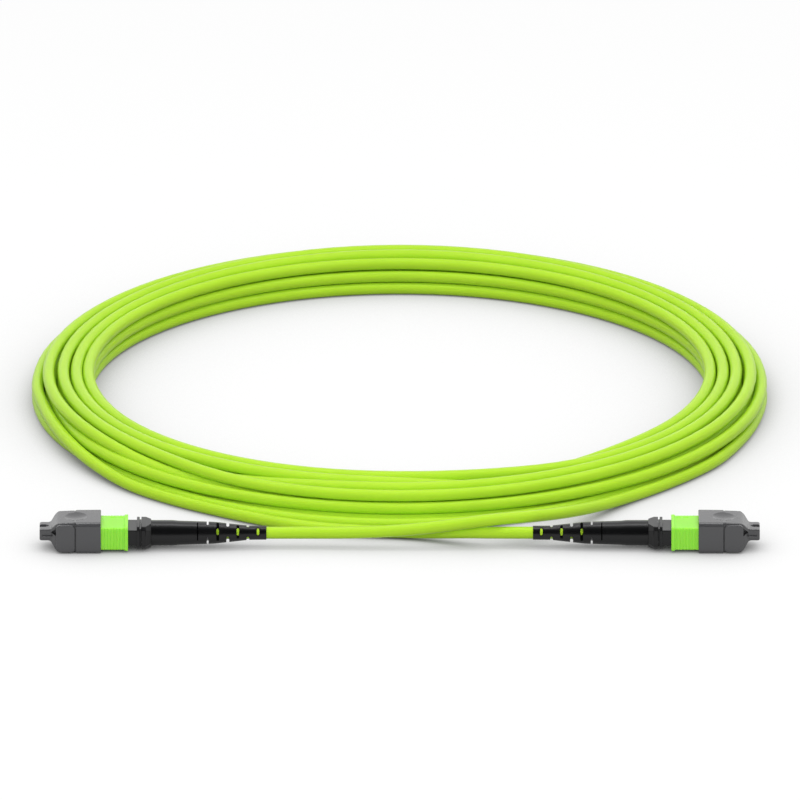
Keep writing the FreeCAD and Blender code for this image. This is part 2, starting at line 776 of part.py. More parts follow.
# ------------------------------------------------------------------ inner housing
def make_inner_housing(side):
    body = doc.addObject("PartDesign::Body", f"inner_housing_{side.name}")
    height = S["housing_height"]
    nose = box_corners(HOUSING_NOSE_WIDTH, height)
    pad_along(body, "plug_nose", nose, HOUSING_FRONT, S["housing_length"])
    outline = box_corners(S["housing_width"], height)
    pad_along(body, "frame", outline, SLEEVE_FRONT, HOUSING_REAR - SLEEVE_FRONT)
    key = box_corners(S["key_width"], S["key_height"] * 2, 0.0, height / 2)
    key_start = HOUSING_FRONT + S["key_setback"]
    pad_along(body, "key", key, key_start, HOUSING_REAR - key_start)
    bore = box_corners(S["housing_bore_width"], S["housing_bore_height"])
    seat = FLANGE_FRONT - S["ferrule_seat_gap"]
    cut_along(body, "bore", bore, seat, S["housing_length"])
    gap = S["ferrule_gap"]
    window = box_corners(clear(S["ferrule_width"], gap), clear(S["ferrule_height"], gap))
    cut_along(body, "ferrule_window", window, HOUSING_FRONT, S["housing_length"])
    notch_start = HOUSING_FRONT + S["notch_setback"]
    reach = HOUSING_NOSE_WIDTH / 2 - S["notch_depth"] / 2
    notch_sections = [
        box_corners(S["notch_depth"], S["notch_height"], reach),
        box_corners(S["notch_depth"], S["notch_height"], -reach),
    ]
    for corners, name in zip(notch_sections, ("latch_notch_far", "latch_notch_near")):
        cut_along(body, name, corners, notch_start, S["notch_length"])
    bite = S["side_spring_bite"] + S["side_spring_gap"]
    groove_middle = S["housing_width"] / 2 - bite / 2
    groove_height = clear(S["side_spring_diameter"], S["side_spring_gap"])
    groove_start = S["side_spring_station"] - S["side_spring_gap"]
    groove_length = S["side_spring_length"] + S["side_spring_gap"] * 2
    for sign, name in ((1, "spring_groove_far"), (-1, "spring_groove_near")):
        groove = box_corners(bite, groove_height, groove_middle * sign)
        cut_along(body, name, groove, groove_start, groove_length)
    snap_end = HOUSING_REAR - S["snap_setback"]
    snap = span_corners(snap_end - S["snap_length"], snap_end, -S["snap_width"] / 2, S["snap_width"] / 2)
    cut_across(body, "snap_windows", "XY_Plane", [snap])
    settle(body, "inner_housing", side)


# ------------------------------------------------------------------ ferrule group
def pin_spots():
    return [(S["pin_pitch"] / 2, 0.0), (-S["pin_pitch"] / 2, 0.0)]


def make_ferrule(side):
    body = doc.addObject("PartDesign::Body", f"ferrule_{side.name}")
    front = box_corners(S["ferrule_width"], S["ferrule_height"])
    length = S["ferrule_body"] + S["ferrule_flange"]
    pad_along(body, "ferrule_front", front, FERRULE_FRONT, length)
    flange = box_corners(S["ferrule_flange_width"], S["ferrule_flange_height"])
    pad_along(body, "ferrule_flange", flange, FLANGE_FRONT, S["ferrule_flange"])
    gap = S["tail_gap"]
    tail = box_corners(clear(S["tail_width"], gap), clear(S["tail_height"], gap))
    cut_along(body, "fibre_entry", tail, TAIL_FRONT - gap, length)
    cut_round(body, "pin_holes", pin_spots(), clear(S["pin_diameter"], S["pin_gap"]), FERRULE_FRONT, length)
    window_start = FERRULE_FRONT + S["window_setback"]
    window = span_corners(
        window_start, window_start + S["window_length"], -S["window_width"] / 2, S["window_width"] / 2
    )
    cut_across(body, "glue_window", "XY_Plane", [window], S["ferrule_height"] / 2, S["ferrule_height"] / 2)
    settle(body, "ferrule", side)


def make_pin_clamp(side):
    body = doc.addObject("PartDesign::Body", f"pin_clamp_{side.name}")
    plate = box_corners(S["ferrule_flange_width"], S["ferrule_flange_height"])
    pad_along(body, "plate", plate, CLAMP_FRONT, S["clamp_length"])
    gap = S["tail_gap"]
    window = box_corners(clear(S["tail_width"], gap), clear(S["tail_height"], gap))
    cut_along(body, "tail_window", window, CLAMP_FRONT, S["clamp_length"])
    cut_round(
        body, "pin_holes", pin_spots(), clear(S["pin_diameter"], S["pin_gap"]), CLAMP_FRONT,
        S["clamp_length"]
    )
    settle(body, "pin_clamp", side)


def make_guide_pins(side):
    """Two guide pins with tapered tips, held by the clamp behind the ferrule."""
    pins = []
    radius = S["pin_diameter"] / 2
    length = CLAMP_REAR - S["clamp_gap"] - PIN_FRONT
    for place, (across, up) in zip(("far", "near"), pin_spots()):
        shank = doc.addObject("Part::Cylinder", f"pin_shank_{place}_{side.name}")
        tip = doc.addObject("Part::Cone", f"pin_tip_{place}_{side.name}")
        shank.setExpression("Radius", radius.formula)
        shank.setExpression("Height", (length - S["pin_taper"]).formula)
        tip.setExpression("Radius1", radius.formula)
        tip.setExpression("Radius2", (radius / 2).formula)
        tip.setExpression("Height", S["pin_taper"].formula)
        forward = FreeCAD.Rotation(FreeCAD.Vector(0, 1, 0), 90)
        for piece, station in ((shank, PIN_FRONT + length), (tip, PIN_FRONT + S["pin_taper"])):
            piece.Placement = FreeCAD.Placement(FreeCAD.Vector(), forward)
            piece.setExpression("Placement.Base.x", (-station).formula)
            piece.setExpression("Placement.Base.y", across.formula)
        pin = doc.addObject("Part::Fuse", f"pin_{place}_{side.name}")
        pin.Base = shank
        pin.Tool = tip
        pins.append(pin)
    pair = doc.addObject("Part::Compound", f"guide_pins_{side.name}")
    pair.Links = pins
    settle(pair, "guide_pins", side)


def make_ferrule_boot(side):
    """The soft tail in the back of the ferrule, with a slot for the fibre ribbon."""
    body = doc.addObject("PartDesign::Body", f"ferrule_boot_{side.name}")
    pad_along(body, "tail", box_corners(S["tail_width"], S["tail_height"]), TAIL_FRONT, S["tail_length"])
    slot = box_corners(clear(S["ribbon_width"], S["ribbon_gap"]), clear(S["ribbon_height"], S["ribbon_gap"]))
    cut_along(body, "ribbon_slot", slot, TAIL_FRONT, S["tail_length"])
    settle(body, "ferrule_boot", side)


def make_fibre_ribbon(side):
    body = doc.addObject("PartDesign::Body", f"fibre_ribbon_{side.name}")
    section = box_corners(S["ribbon_width"], S["ribbon_height"])
    pad_along(body, "ribbon", section, RIBBON_FRONT, S["ribbon_length"])
    settle(body, "fibre_ribbon", side)


def make_ferrule_spring(side):
    """The oval spring between the pin clamp and the spring push."""
    wire = S["oval_spring_wire"].number
    radius = (S["oval_spring_height"].number - wire) / 2
    half_straight = (S["oval_spring_width"].number - wire) / 2 - radius
    gap = S["spring_seat_gap"].number
    start = CLAMP_REAR.number + gap
    length = SNOUT_FRONT.number - gap - start
    spring = spring_solid(start, length, S["oval_spring_turns"].number, wire, half_straight, radius)
    feature = doc.addObject("Part::Feature", f"ferrule_spring_{side.name}")
    feature.Shape = spring
    settle(feature, "ferrule_spring", side)


# ------------------------------------------------------------------ spring push, crimp sleeve, boot
def make_spring_push(side):
    body = doc.addObject("PartDesign::Body", f"spring_push_{side.name}")
    gap = S["snout_gap"]
    snout = box_corners(S["housing_bore_width"] - gap * 2, S["housing_bore_height"] - gap * 2)
    neck_front = HOUSING_REAR + S["snap_gap"]
    pad_along(body, "snout", snout, SNOUT_FRONT, neck_front - SNOUT_FRONT)
    neck = box_corners(S["housing_width"], S["housing_height"])
    pad_along(body, "neck", neck, neck_front, RING_FRONT - neck_front)
    ring = eight_corners(S["head_width"], S["head_height"], S["head_chamfer"])
    pad_along(body, "ring", ring, RING_FRONT, S["ring_length"])
    pad_along(body, "waist", box_corners(S["waist_width"], S["waist_height"]), RING_REAR, S["waist_length"])
    pad_round(body, "barrel", S["barrel_diameter"], WAIST_REAR, S["barrel_length"])
    snap_gap = S["snap_gap"]
    snap_end = HOUSING_REAR - S["snap_setback"] - snap_gap
    snap = box_corners(S["snap_width"] - snap_gap * 2, S["housing_height"] - snap_gap * 2)
    snap_length = S["snap_length"] - snap_gap * 2
    pad_along(body, "snap_hooks", snap, snap_end - snap_length, snap_length)
    channel = box_corners(S["channel_width"], S["channel_height"])
    cut_along(body, "channel", channel, SNOUT_FRONT, RING_REAR - SNOUT_FRONT)
    cut_round(
        body, "barrel_bore", [(0.0, 0.0)], S["barrel_bore"], RING_REAR,
        S["waist_length"] + S["barrel_length"]
    )
    settle(body, "spring_push", side)


def revolve_about_plug(body, name, corners):
    """Turn an outline of (station, radius) corners about the plug's axis."""
    sketch = sketch_on(body, name, "XZ_Plane", 0.0)
    draw_outline(sketch, [(-station, radius) for station, radius in corners])
    turned = body.newObject("PartDesign::Revolution", f"{name}_turned")
    turned.Profile = sketch
    turned.ReferenceAxis = (sketch, ["H_Axis"])
    body.Tip = turned
    return turned


def make_crimp_sleeve(side):
    """A stepped metal sleeve: the wide end clamps yarn on the barrel, the narrow end the jacket."""
    body = doc.addObject("PartDesign::Body", f"crimp_sleeve_{side.name}")
    wall = S["crimp_wall"]
    wide, narrow = CRIMP_BORE / 2, CABLE_BORE / 2
    corners = [
        (CRIMP_FRONT, wide), (CRIMP_FRONT, wide + wall), (CRIMP_STEP, wide + wall),
        (CRIMP_STEP + wall, narrow + wall), (CRIMP_REAR, narrow + wall), (CRIMP_REAR, narrow),
        (CRIMP_STEP, narrow), (CRIMP_STEP, wide),
    ]
    revolve_about_plug(body, "crimp", corners)
    settle(body, "crimp_sleeve", side)


def boot_slots(body, turn, stations):
    """Pairs of opposite cuts across the boot, in one plane through its axis."""
    sketch = sketch_on(body, f"slots_{int(turn) % 180}", "XZ_Plane", 0.0)
    sketch.AttachmentOffset = FreeCAD.Placement(
        FreeCAD.Vector(), FreeCAD.Rotation(FreeCAD.Vector(1, 0, 0), turn)
    )
    far = S["boot_start_diameter"]
    for station, width in stations:
        draw_blind_slot(sketch, -station, width, S["boot_slot_floor"], far)
        draw_blind_slot(sketch, -station, width, -S["boot_slot_floor"], -far)
    extrude(body, "Pocket", sketch)


def make_boot(side):
    body = doc.addObject("PartDesign::Body", f"boot_{side.name}")
    head = eight_corners(S["head_width"], S["head_height"], S["head_chamfer"])
    pad_along(body, "head", head, BOOT_FRONT, S["head_straight"] - S["boot_gap"])
    wide = sketch_on(body, "taper_front", "YZ_Plane", -(WAIST_REAR + S["head_straight"]))
    draw_outline(wide, head)
    small = sketch_on(body, "taper_rear", "YZ_Plane", -BOOT_START)
    draw_outline(small, eight_corners(S["head_end_width"], S["head_end_height"], S["head_end_chamfer"]))
    taper = body.newObject("PartDesign::AdditiveLoft", "taper")
    taper.Profile = wide
    taper.Sections = [small]
    taper.Ruled = True
    body.Tip = taper
    start = BOOT_START
    corners = [
        (start - S["head_taper"], S["boot_mouth_diameter"] / 4),
        (start - S["head_taper"], S["boot_start_diameter"] / 4),
        (start, S["boot_start_diameter"] / 2),
        (start + S["boot_ridge_at"], S["boot_ridge_diameter"] / 2),
        (start + S["boot_step_at"], S["boot_step_diameter"] / 2),
        (start + S["boot_waist_at"], S["boot_waist_diameter"] / 2),
        (start + S["boot_mouth_at"], S["boot_mouth_diameter"] / 2),
        (BOOT_MOUTH, S["boot_mouth_diameter"] / 2),
        (BOOT_MOUTH, S["boot_mouth_diameter"] / 4),
    ]
    revolve_about_plug(body, "tail", corners)
    cut_round(body, "cable_bore", [(0.0, 0.0)], CABLE_BORE, BOOT_FRONT, BOOT_MOUTH)
    room = clear(CRIMP_OUTSIDE, S["boot_gap"])
    cut_round(body, "crimp_room", [(0.0, 0.0)], room, BOOT_FRONT, CRIMP_REAR + S["boot_gap"] - BOOT_FRONT)
    fine, middling, wide_slot = S["boot_slot_fine"], S["boot_slot_middle"], S["boot_slot_wide"]
    widths = [fine, middling, wide_slot, wide_slot, wide_slot, wide_slot, wide_slot]
    first = BOOT_START + S["boot_slot_first"]
    stations = [(first + S["boot_slot_pitch"] * n, width) for n, width in enumerate(widths)]
    boot_slots(body, 90 - side.slot_turn, stations[0::2])
    boot_slots(body, -side.slot_turn, stations[1::2])
    settle(body, "boot", side)


# ------------------------------------------------------------------ cable
def make_cable_end(side):
    """The end of the cable's jacket that the crimp sleeve and the boot hold."""
    body = doc.addObject("PartDesign::Body", f"cable_end_{side.name}")
    pad_round(body, "jacket", S["cable_diameter"], CABLE_FRONT, CABLE_REAR - CABLE_FRONT)
    settle(body, "cable_end", side)


def lead_wire(label, corners):
    """Straight runs joined by tangent arcs, each arc as large as its two runs allow."""
    edges = []
    last = corners[0]
    radii = []
    for before, corner, after in zip(corners, corners[1:], corners[2:]):
        back = (before - corner).normalize()
        ahead = (after - corner).normalize()
        short = 0.45 * min(before.distanceToPoint(corner), after.distanceToPoint(corner))
        turn = math.pi - back.getAngle(ahead)
        radii.append(short / math.tan(turn / 2))
        enter = corner + back * short
        leave = corner + ahead * short
        inward = (back + ahead).normalize()
        depth = radii[-1] / math.cos(turn / 2) - radii[-1]
        edges.append(Part.LineSegment(last, enter).toShape())
        edges.append(Part.Arc(enter, corner + inward * depth, leave).toShape())
        last = leave
    edges.append(Part.LineSegment(last, corners[-1]).toShape())
    print(label, "bend radii:", " ".join(f"{radius:.0f}" for radius in radii))
    return Part.Wire(edges)


def make_lead(label, tip, sign, route):
    """The free lead from inside the boot's mouth to where it joins the coil, as a round tube."""
    start = FreeCAD.Vector(number_of(tip) - sign * CABLE_REAR.number, 0, AXIS_HEIGHT.number)
    corners = [start] + [FreeCAD.Vector(*spot) for spot in route]
    wire = lead_wire(label, corners)
    radius = S["cable_diameter"].number / 2
    circle = Part.Wire([Part.makeCircle(radius, corners[0], corners[1] - corners[0])])
    tube = wire.makePipeShell([circle], True, False)
    expected = math.pi * radius ** 2 * wire.Length
    print(label, f"length {wire.Length:.1f} mm, volume {tube.Volume:.0f} of {expected:.0f} cubic mm")
    feature = doc.addObject("Part::Feature", label)
    feature.Shape = tube
    feature.Label = label
    parts[label] = feature


def make_cable_coil():
    """The outer shape of the coil: a low ring with a sloping inside and outside."""
    body = doc.addObject("PartDesign::Body", "cable_coil")
    sketch = sketch_on(body, "section", "XZ_Plane", 0.0)
    corners = [
        (S["coil_inner_radius"], 0.0),
        (S["coil_outer_radius"], 0.0),
        (S["coil_outer_radius"], S["coil_shoulder"]),
        (S["coil_top_outer_radius"], S["coil_height"]),
        (S["coil_top_inner_radius"], S["coil_height"]),
        (S["coil_inner_radius"], S["coil_shoulder"]),
    ]
    draw_outline(sketch, corners)
    ring = body.newObject("PartDesign::Revolution", "ring")
    ring.Profile = sketch
    ring.ReferenceAxis = (sketch, ["V_Axis"])
    body.Tip = ring
    body.setExpression("Placement.Base.y", S["coil_centre"].formula)
    body.Label = "cable_coil"
    parts[body.Label] = body


# ------------------------------------------------------------------ build, check and write
for side in SIDES:
    make_dust_cap(side)
    make_coupling_sleeve(side)
    make_coupling_springs(side)
    make_inner_housing(side)
    make_ferrule(side)
    make_guide_pins(side)
    make_pin_clamp(side)
    make_ferrule_boot(side)
    make_fibre_ribbon(side)
    make_ferrule_spring(side)
    make_spring_push(side)
    make_crimp_sleeve(side)
    make_boot(side)
    make_cable_end(side)
make_lead("lead_left", -S["half_span"], -1, LEFT_ROUTE)
make_lead("lead_right", S["half_span"], 1, RIGHT_ROUTE)
make_cable_coil()
doc.recompute()

for thing in doc.Objects:
    if "Invalid" in thing.State or "Error" in thing.State:
        raise RuntimeError(f"{thing.Label} failed: {thing.State}")
os.makedirs("parts", exist_ok=True)
for name, thing in parts.items():
    shape = thing.Shape
    if shape.isNull() or not shape.isValid():
        raise RuntimeError(f"{name} has no sound shape")
    shape.exportStep(f"parts/{name}.step")
    box = shape.BoundBox
    print(f"{name:24s} solids {len(shape.Solids)} volume {shape.Volume:9.2f} "
          f"x {box.XMin:8.2f} {box.XMax:8.2f} y {box.YMin:7.2f} {box.YMax:7.2f} "
          f"z {box.ZMin:6.2f} {box.ZMax:6.2f}")
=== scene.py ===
# %% [markdown]
# # A capped multi-fibre patch lead
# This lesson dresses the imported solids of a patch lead: fourteen loose turns of lime-green round cable with the
# same push-on plug at both ends, each under a grey dust cap. The solids already stand in the right places, so
# the script asks the frame where the plugs are, and every piece of a plug is placed from the tip of its cap.

import json
import math

import bmesh
import bpy
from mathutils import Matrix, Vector


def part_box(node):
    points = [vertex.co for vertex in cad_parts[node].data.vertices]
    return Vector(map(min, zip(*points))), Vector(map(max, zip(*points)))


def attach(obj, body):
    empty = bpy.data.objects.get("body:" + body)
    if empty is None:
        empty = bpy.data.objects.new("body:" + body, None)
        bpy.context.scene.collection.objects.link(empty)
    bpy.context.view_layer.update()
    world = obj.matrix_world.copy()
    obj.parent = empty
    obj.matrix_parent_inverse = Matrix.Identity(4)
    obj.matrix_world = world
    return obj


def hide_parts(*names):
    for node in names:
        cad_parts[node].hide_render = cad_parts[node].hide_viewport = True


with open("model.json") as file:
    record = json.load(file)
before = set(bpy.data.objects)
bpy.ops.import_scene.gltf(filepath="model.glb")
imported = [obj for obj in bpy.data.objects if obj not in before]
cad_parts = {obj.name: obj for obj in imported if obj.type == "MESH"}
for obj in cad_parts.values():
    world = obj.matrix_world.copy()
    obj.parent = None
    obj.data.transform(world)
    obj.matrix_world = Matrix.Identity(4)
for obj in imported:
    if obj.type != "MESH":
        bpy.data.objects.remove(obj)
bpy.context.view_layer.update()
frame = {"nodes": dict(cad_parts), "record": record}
MM = 0.001

# %% [markdown]
# ## The camera
# Small goods are shot from far away with a long lens, so that near and far turns of the coil keep nearly the
# same thickness. A camera twelve metres off does that. It stands low, about twenty degrees above the table,
# and looks at the middle of the coil.

# %% Place the camera
CAMERA_HEIGHT_ANGLE = math.radians(20.3)
CAMERA_DISTANCE = 12.0
VIEW_WIDTH = 0.2652
LOOK_AT = Vector((0.0001, 0.1386, 0.0))

camera_data = bpy.data.cameras.new("long_lens")
camera_data.sensor_width = 36.0
camera_data.lens = camera_data.sensor_width * CAMERA_DISTANCE / VIEW_WIDTH
camera_data.clip_end = CAMERA_DISTANCE * 2
camera = bpy.data.objects.new("long_lens", camera_data)
bpy.context.scene.collection.objects.link(camera)
looking = Vector((0.0, math.cos(CAMERA_HEIGHT_ANGLE), -math.sin(CAMERA_HEIGHT_ANGLE)))
camera.location = LOOK_AT - looking * CAMERA_DISTANCE
camera.rotation_euler = looking.to_track_quat("-Z", "Y").to_euler()
bpy.context.scene.camera = camera
bpy.context.scene.view_settings.view_transform = "Standard"
print("lens", round(camera_data.lens), "mm")

# %% [markdown]
# ## The cable
# The cable is one length of about ten metres. It leaves the left boot, passes over its own other end in a long
# low hump, joins the coil on the right and winds round it fourteen times. Then it leaves on the left and runs
# along the floor into the right boot. It could be many separate rings, but a real coil has one strand that
# works its way from place to place, and the eye notices where strands change over. So it is one smooth spline:
# a few listed points for each free lead, and a loop that winds the turns between them.

# %% The free leads, point by point, in metres
LEFT_LEAD = [
    (-0.0443, 0.0, 0.004875), (-0.030, 0.0, 0.004875), (-0.016, -0.0006, 0.0051), (-0.003, -0.0008, 0.0057),
    (0.009, -0.0007, 0.0067), (0.020, -0.0001, 0.0080), (0.0295, 0.0008, 0.0091), (0.0385, 0.0034, 0.0089),
    (0.047, 0.0090, 0.0076), (0.056, 0.0172, 0.0058), (0.065, 0.0282, 0.0036), (0.075, 0.0406, 0.0021),
    (0.086, 0.0516, 0.002), (0.0975, 0.0650, 0.002),
]
RIGHT_LEAD = [
    (-0.084, 0.0471, 0.002), (-0.072, 0.0369, 0.002), (-0.060, 0.0289, 0.002), (-0.048, 0.0216, 0.002),
    (-0.036, 0.0154, 0.002), (-0.024, 0.0114, 0.002), (-0.012, 0.0094, 0.002), (0.000, 0.0083, 0.00205),
    (0.011, 0.0059, 0.0027), (0.022, 0.0025, 0.0041), (0.033, 0.0, 0.004875), (0.0443, 0.0, 0.004875),
]
CABLE_DIAMETER = 0.004
print("hand points:", len(LEFT_LEAD), "and", len(RIGHT_LEAD))

# %% [markdown]
# ## The turns
# A bed is a place in the coil's section. The strand starts on the floor outside, steps inwards bed by bed,
# climbs, and comes out on top. Each turn it moves into the bed that the next turn has just left, so the last
# move of all comes first round the coil. Loose turns are not the same all the way round: they lie fuller at
# the front, and closer together at the back, so every bed has its own radius and height at the ends of the
# coil, at its back and at its front.

# %% Beds for the turns
# Each bed is (radius, height) in millimetres at the ends of the coil, at its back and at its front.
BEDS = [
    ((122.3, 2.0), (122.3, 2.0), (122.3, 2.0)),
    ((119.9, 2.0), (119.4, 2.0), (122.8, 2.0)),
    ((115.9, 2.0), (115.4, 2.0), (118.6, 2.0)),
    ((111.9, 2.0), (111.2, 2.0), (113.4, 2.0)),
    ((108.0, 2.0), (106.9, 2.0), (107.6, 2.0)),
    ((104.1, 2.0), (102.6, 2.0), (102.6, 2.0)),
    ((103.5, 6.0), (103.7, 5.9), (102.0, 6.4)),
    ((103.0, 10.1), (104.9, 9.9), (104.2, 11.7)),
    ((107.2, 10.3), (108.8, 11.45), (108.2, 11.5)),
    ((107.6, 6.1), (107.8, 6.4), (106.0, 6.8)),
    ((111.6, 6.1), (111.8, 6.7), (110.0, 6.6)),
    ((111.5, 10.4), (112.8, 11.65), (112.2, 10.8)),
    ((116.3, 9.9), (116.8, 9.8), (116.2, 9.5)),
    ((115.7, 6.1), (115.8, 6.1), (113.6, 6.0)),
    ((119.7, 6.2), (119.8, 5.9), (117.6, 5.75)),
]
# The places of the moves and their length are in degrees round the coil. The right end is at 0 degrees, the
# back at 90, the left end at 180 and the front at 270.
MOVE_AT = [334, 332, 330, 328, 323, 312, 300, 292, 281, 270, 244, 233, 221, 207]
MOVE_LENGTH = 27.0
TURNS = len(BEDS) - 1
print("turns:", TURNS, "moves between", min(MOVE_AT), "and", max(MOVE_AT), "degrees")

# %% How the coil changes on its way round
# Each change is (the degree where it starts, the number of degrees that it takes).
BACK_REACH = 80
FRONT_COMES, FRONT_GOES = (195, 80), (270, 50)
LEAVING_COMES, LEAVING_GOES = (188, 24), (225, 35)
JOINING_COMES, JOINING_GOES = (285, 30), (320, 28)
LEAVING_SHARE = 0.9


def ease(share):
    """Go from 0 to 1 with a slow start and a slow end."""
    share = min(max(share, 0.0), 1.0)
    return share * share * (3 - 2 * share)


def come(angle, change):
    """How much of a change has come at an angle."""
    start, length = change
    return ease((angle - start) / length)


def back_share(angle):
    """How much of the back of the coil there is at an angle: 1 at the back, and 0 from BACK_REACH away."""
    away = abs(angle % 360 - 90)
    return math.cos(math.pi / 2 * min(away / BACK_REACH, 1.0)) ** 2


def front_share(angle):
    """The same for the front. It comes on slowly on the left and goes sooner on the right."""
    angle = angle % 360
    return come(angle, FRONT_COMES) if angle < FRONT_GOES[0] else 1 - come(angle, FRONT_GOES)


def squeeze_share(angle):
    """How far the floor turns are pushed inwards where a lead joins the coil or leaves it."""
    angle = angle % 360
    leaving = come(angle, LEAVING_COMES) * (1 - come(angle, LEAVING_GOES))
    joining = come(angle, JOINING_COMES) * (1 - come(angle, JOINING_GOES))
    return LEAVING_SHARE * leaving + joining


print("at 45, 90, 225 and 270 degrees: back", [round(back_share(angle), 2) for angle in (45, 90, 225, 270)])
print("front", [round(front_share(angle), 2) for angle in (45, 90, 225, 270)])

# %% A bed at any angle
SQUEEZE = 2.0
SQUEEZED_BEDS = range(1, 6)


def bed_at(number, angle):
    """Radius and height of a bed, in millimetres, where the strand passes at this angle."""
    ends, back, front = BEDS[number]
    place = [e + back_share(angle) * (b - e) + front_share(angle) * (f - e) for e, b, f in zip(ends, back, front)]
    if number in SQUEEZED_BEDS:
        place[0] -= SQUEEZE * squeeze_share(angle)
    return place


print("bed 3 at the back:", bed_at(3, 90), "and at the front:", bed_at(3, 270))

# %% [markdown]
# ## From beds to a strand
# Twenty-four points a turn are plenty for a smooth spline. A cable never lies quite true either, so the radius
# sways by a tenth of a millimetre. The sway is made of two slow waves that don't fit the turn, and not of random
# numbers, so that every run gives the same coil.

# %% Where the strand runs
COIL_CENTRE = Vector((0.0, 0.1383, 0.0))
POINTS_PER_TURN = 24
PULL_IN = math.cos(math.pi / POINTS_PER_TURN)
FIRST_ANGLE, LAST_ANGLE = 331.0, 181.0 + 360 * TURNS
SWAYS = ((0.1, 1.37, 40), (0.08, 2.71, 0))  # (millimetres, waves in a turn, degrees ahead)


def coil_point(radius, height, angle):
    """A point of the coil. A smooth spline cuts its corners a little, so the point sits that much further out."""
    reach = radius * MM / PULL_IN
    turn = math.radians(angle)
    return COIL_CENTRE + Vector((reach * math.cos(turn), reach * math.sin(turn), height * MM))


def strand_at(angle):
    """The strand's place at an angle that goes on counting from turn to turn."""
    radius, height = bed_at(0, angle)
    for move in range(TURNS):
        share = ease((angle - MOVE_AT[move] - 360 * move) / MOVE_LENGTH + 0.5)
        old, new = bed_at(move, angle), bed_at(move + 1, angle)
        radius += (new[0] - old[0]) * share
        height += (new[1] - old[1]) * share
    sway = sum(size * math.sin(math.radians(angle * waves + ahead)) for size, waves, ahead in SWAYS)
    return coil_point(radius + sway, height, angle)


steps = round((LAST_ANGLE - FIRST_ANGLE) / (360 / POINTS_PER_TURN))
coil = [strand_at(FIRST_ANGLE + (LAST_ANGLE - FIRST_ANGLE) * step / steps) for step in range(steps + 1)]
print("points in the coil:", len(coil))

# %% The way out
# The last turn slips over the outermost one and down to the floor: (degrees, radius, height).
WAY_OUT = [(190, 118.8, 6.1), (198, 119.5, 5.8), (206, 120.7, 5.1), (214, 121.9, 3.9), (222, 122.9, 2.5)]
way_out = [coil_point(radius, height, angle) for angle, radius, height in WAY_OUT]
route = [Vector(p) for p in LEFT_LEAD] + coil + way_out + [Vector(p) for p in RIGHT_LEAD]
print("points in the whole route:", len(route))

# %% [markdown]
# ## The cable's skin
# A bevelled curve gives the strand its round jacket. Each point's radius multiplies the bevel depth, and it also
# counts in the box that Blender keeps for a curve. So the depth is one metre here, and the points hold the real
# radius of two millimetres, which gives the right jacket and the right box as well.

# %% Make the spline
def spline_through(name, points, diameter):
    """A round cable along one smooth open spline, with the points as its control points."""
    curve = bpy.data.curves.new(name, "CURVE")
    curve.dimensions = "3D"
    spline = curve.splines.new("NURBS")
    spline.points.add(len(points) - 1)
    for point, place in zip(spline.points, points):
        point.co = (*place, 1.0)
        point.radius = diameter / 2
    spline.order_u = 3
    spline.use_endpoint_u = True
    spline.resolution_u = 4
    curve.bevel_depth = 1.0
    curve.bevel_resolution = 3
    curve.use_fill_caps = True
    piece = bpy.data.objects.new(name, curve)
    bpy.context.scene.collection.objects.link(piece)
    return piece


def spline_length(piece):
    """The length of the line in the middle of the cable, measured on a copy with no bevel."""
    plain = piece.data.copy()
    plain.bevel_depth = 0.0
    helper = bpy.data.objects.new("measure", plain)
    line = bpy.data.meshes.new_from_object(helper)
    length = sum((line.vertices[e.vertices[0]].co - line.vertices[e.vertices[1]].co).length for e in line.edges)
    bpy.data.objects.remove(helper)
    bpy.data.meshes.remove(line)
    return length


cable = spline_through("cable", route, CABLE_DIAMETER)
print("cable length:", round(spline_length(cable), 3), "m")

# %% Tell the frame what the cable is
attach(cable, "lead")
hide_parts("lead_left", "cable_coil", "lead_right")
print("the cable rides on the lead and stands for both free leads and the coil")

# %% [markdown]
# ## Finishes
# Nearly everything here is moulded or extruded plastic. A moulded face is never one flat colour: it has a fine
# grain that breaks up the shine, and slow patches where it is a little paler. One helper gives a plastic those
# two things at the scale asked for, and each finish sets its own colour, shine and grain.

# %% Colours
def shade(red, green, blue):
    """A colour as seen on a screen, 0 to 255, turned into the amounts of light that the shader wants."""
    return tuple(
        (v / 255 / 12.92) if v <= 10 else ((v / 255 + 0.055) / 1.055) ** 2.4 for v in (red, green, blue)
    ) + (1.0,)


print("a middle grey of 128 on a screen is", round(shade(128, 128, 128)[0], 3), "of the light")

# %% A helper for plastics
FINISHES = {}
PATCH_SCALE = 60.0
SMOOTHER, ROUGHER = 0.05, 0.07


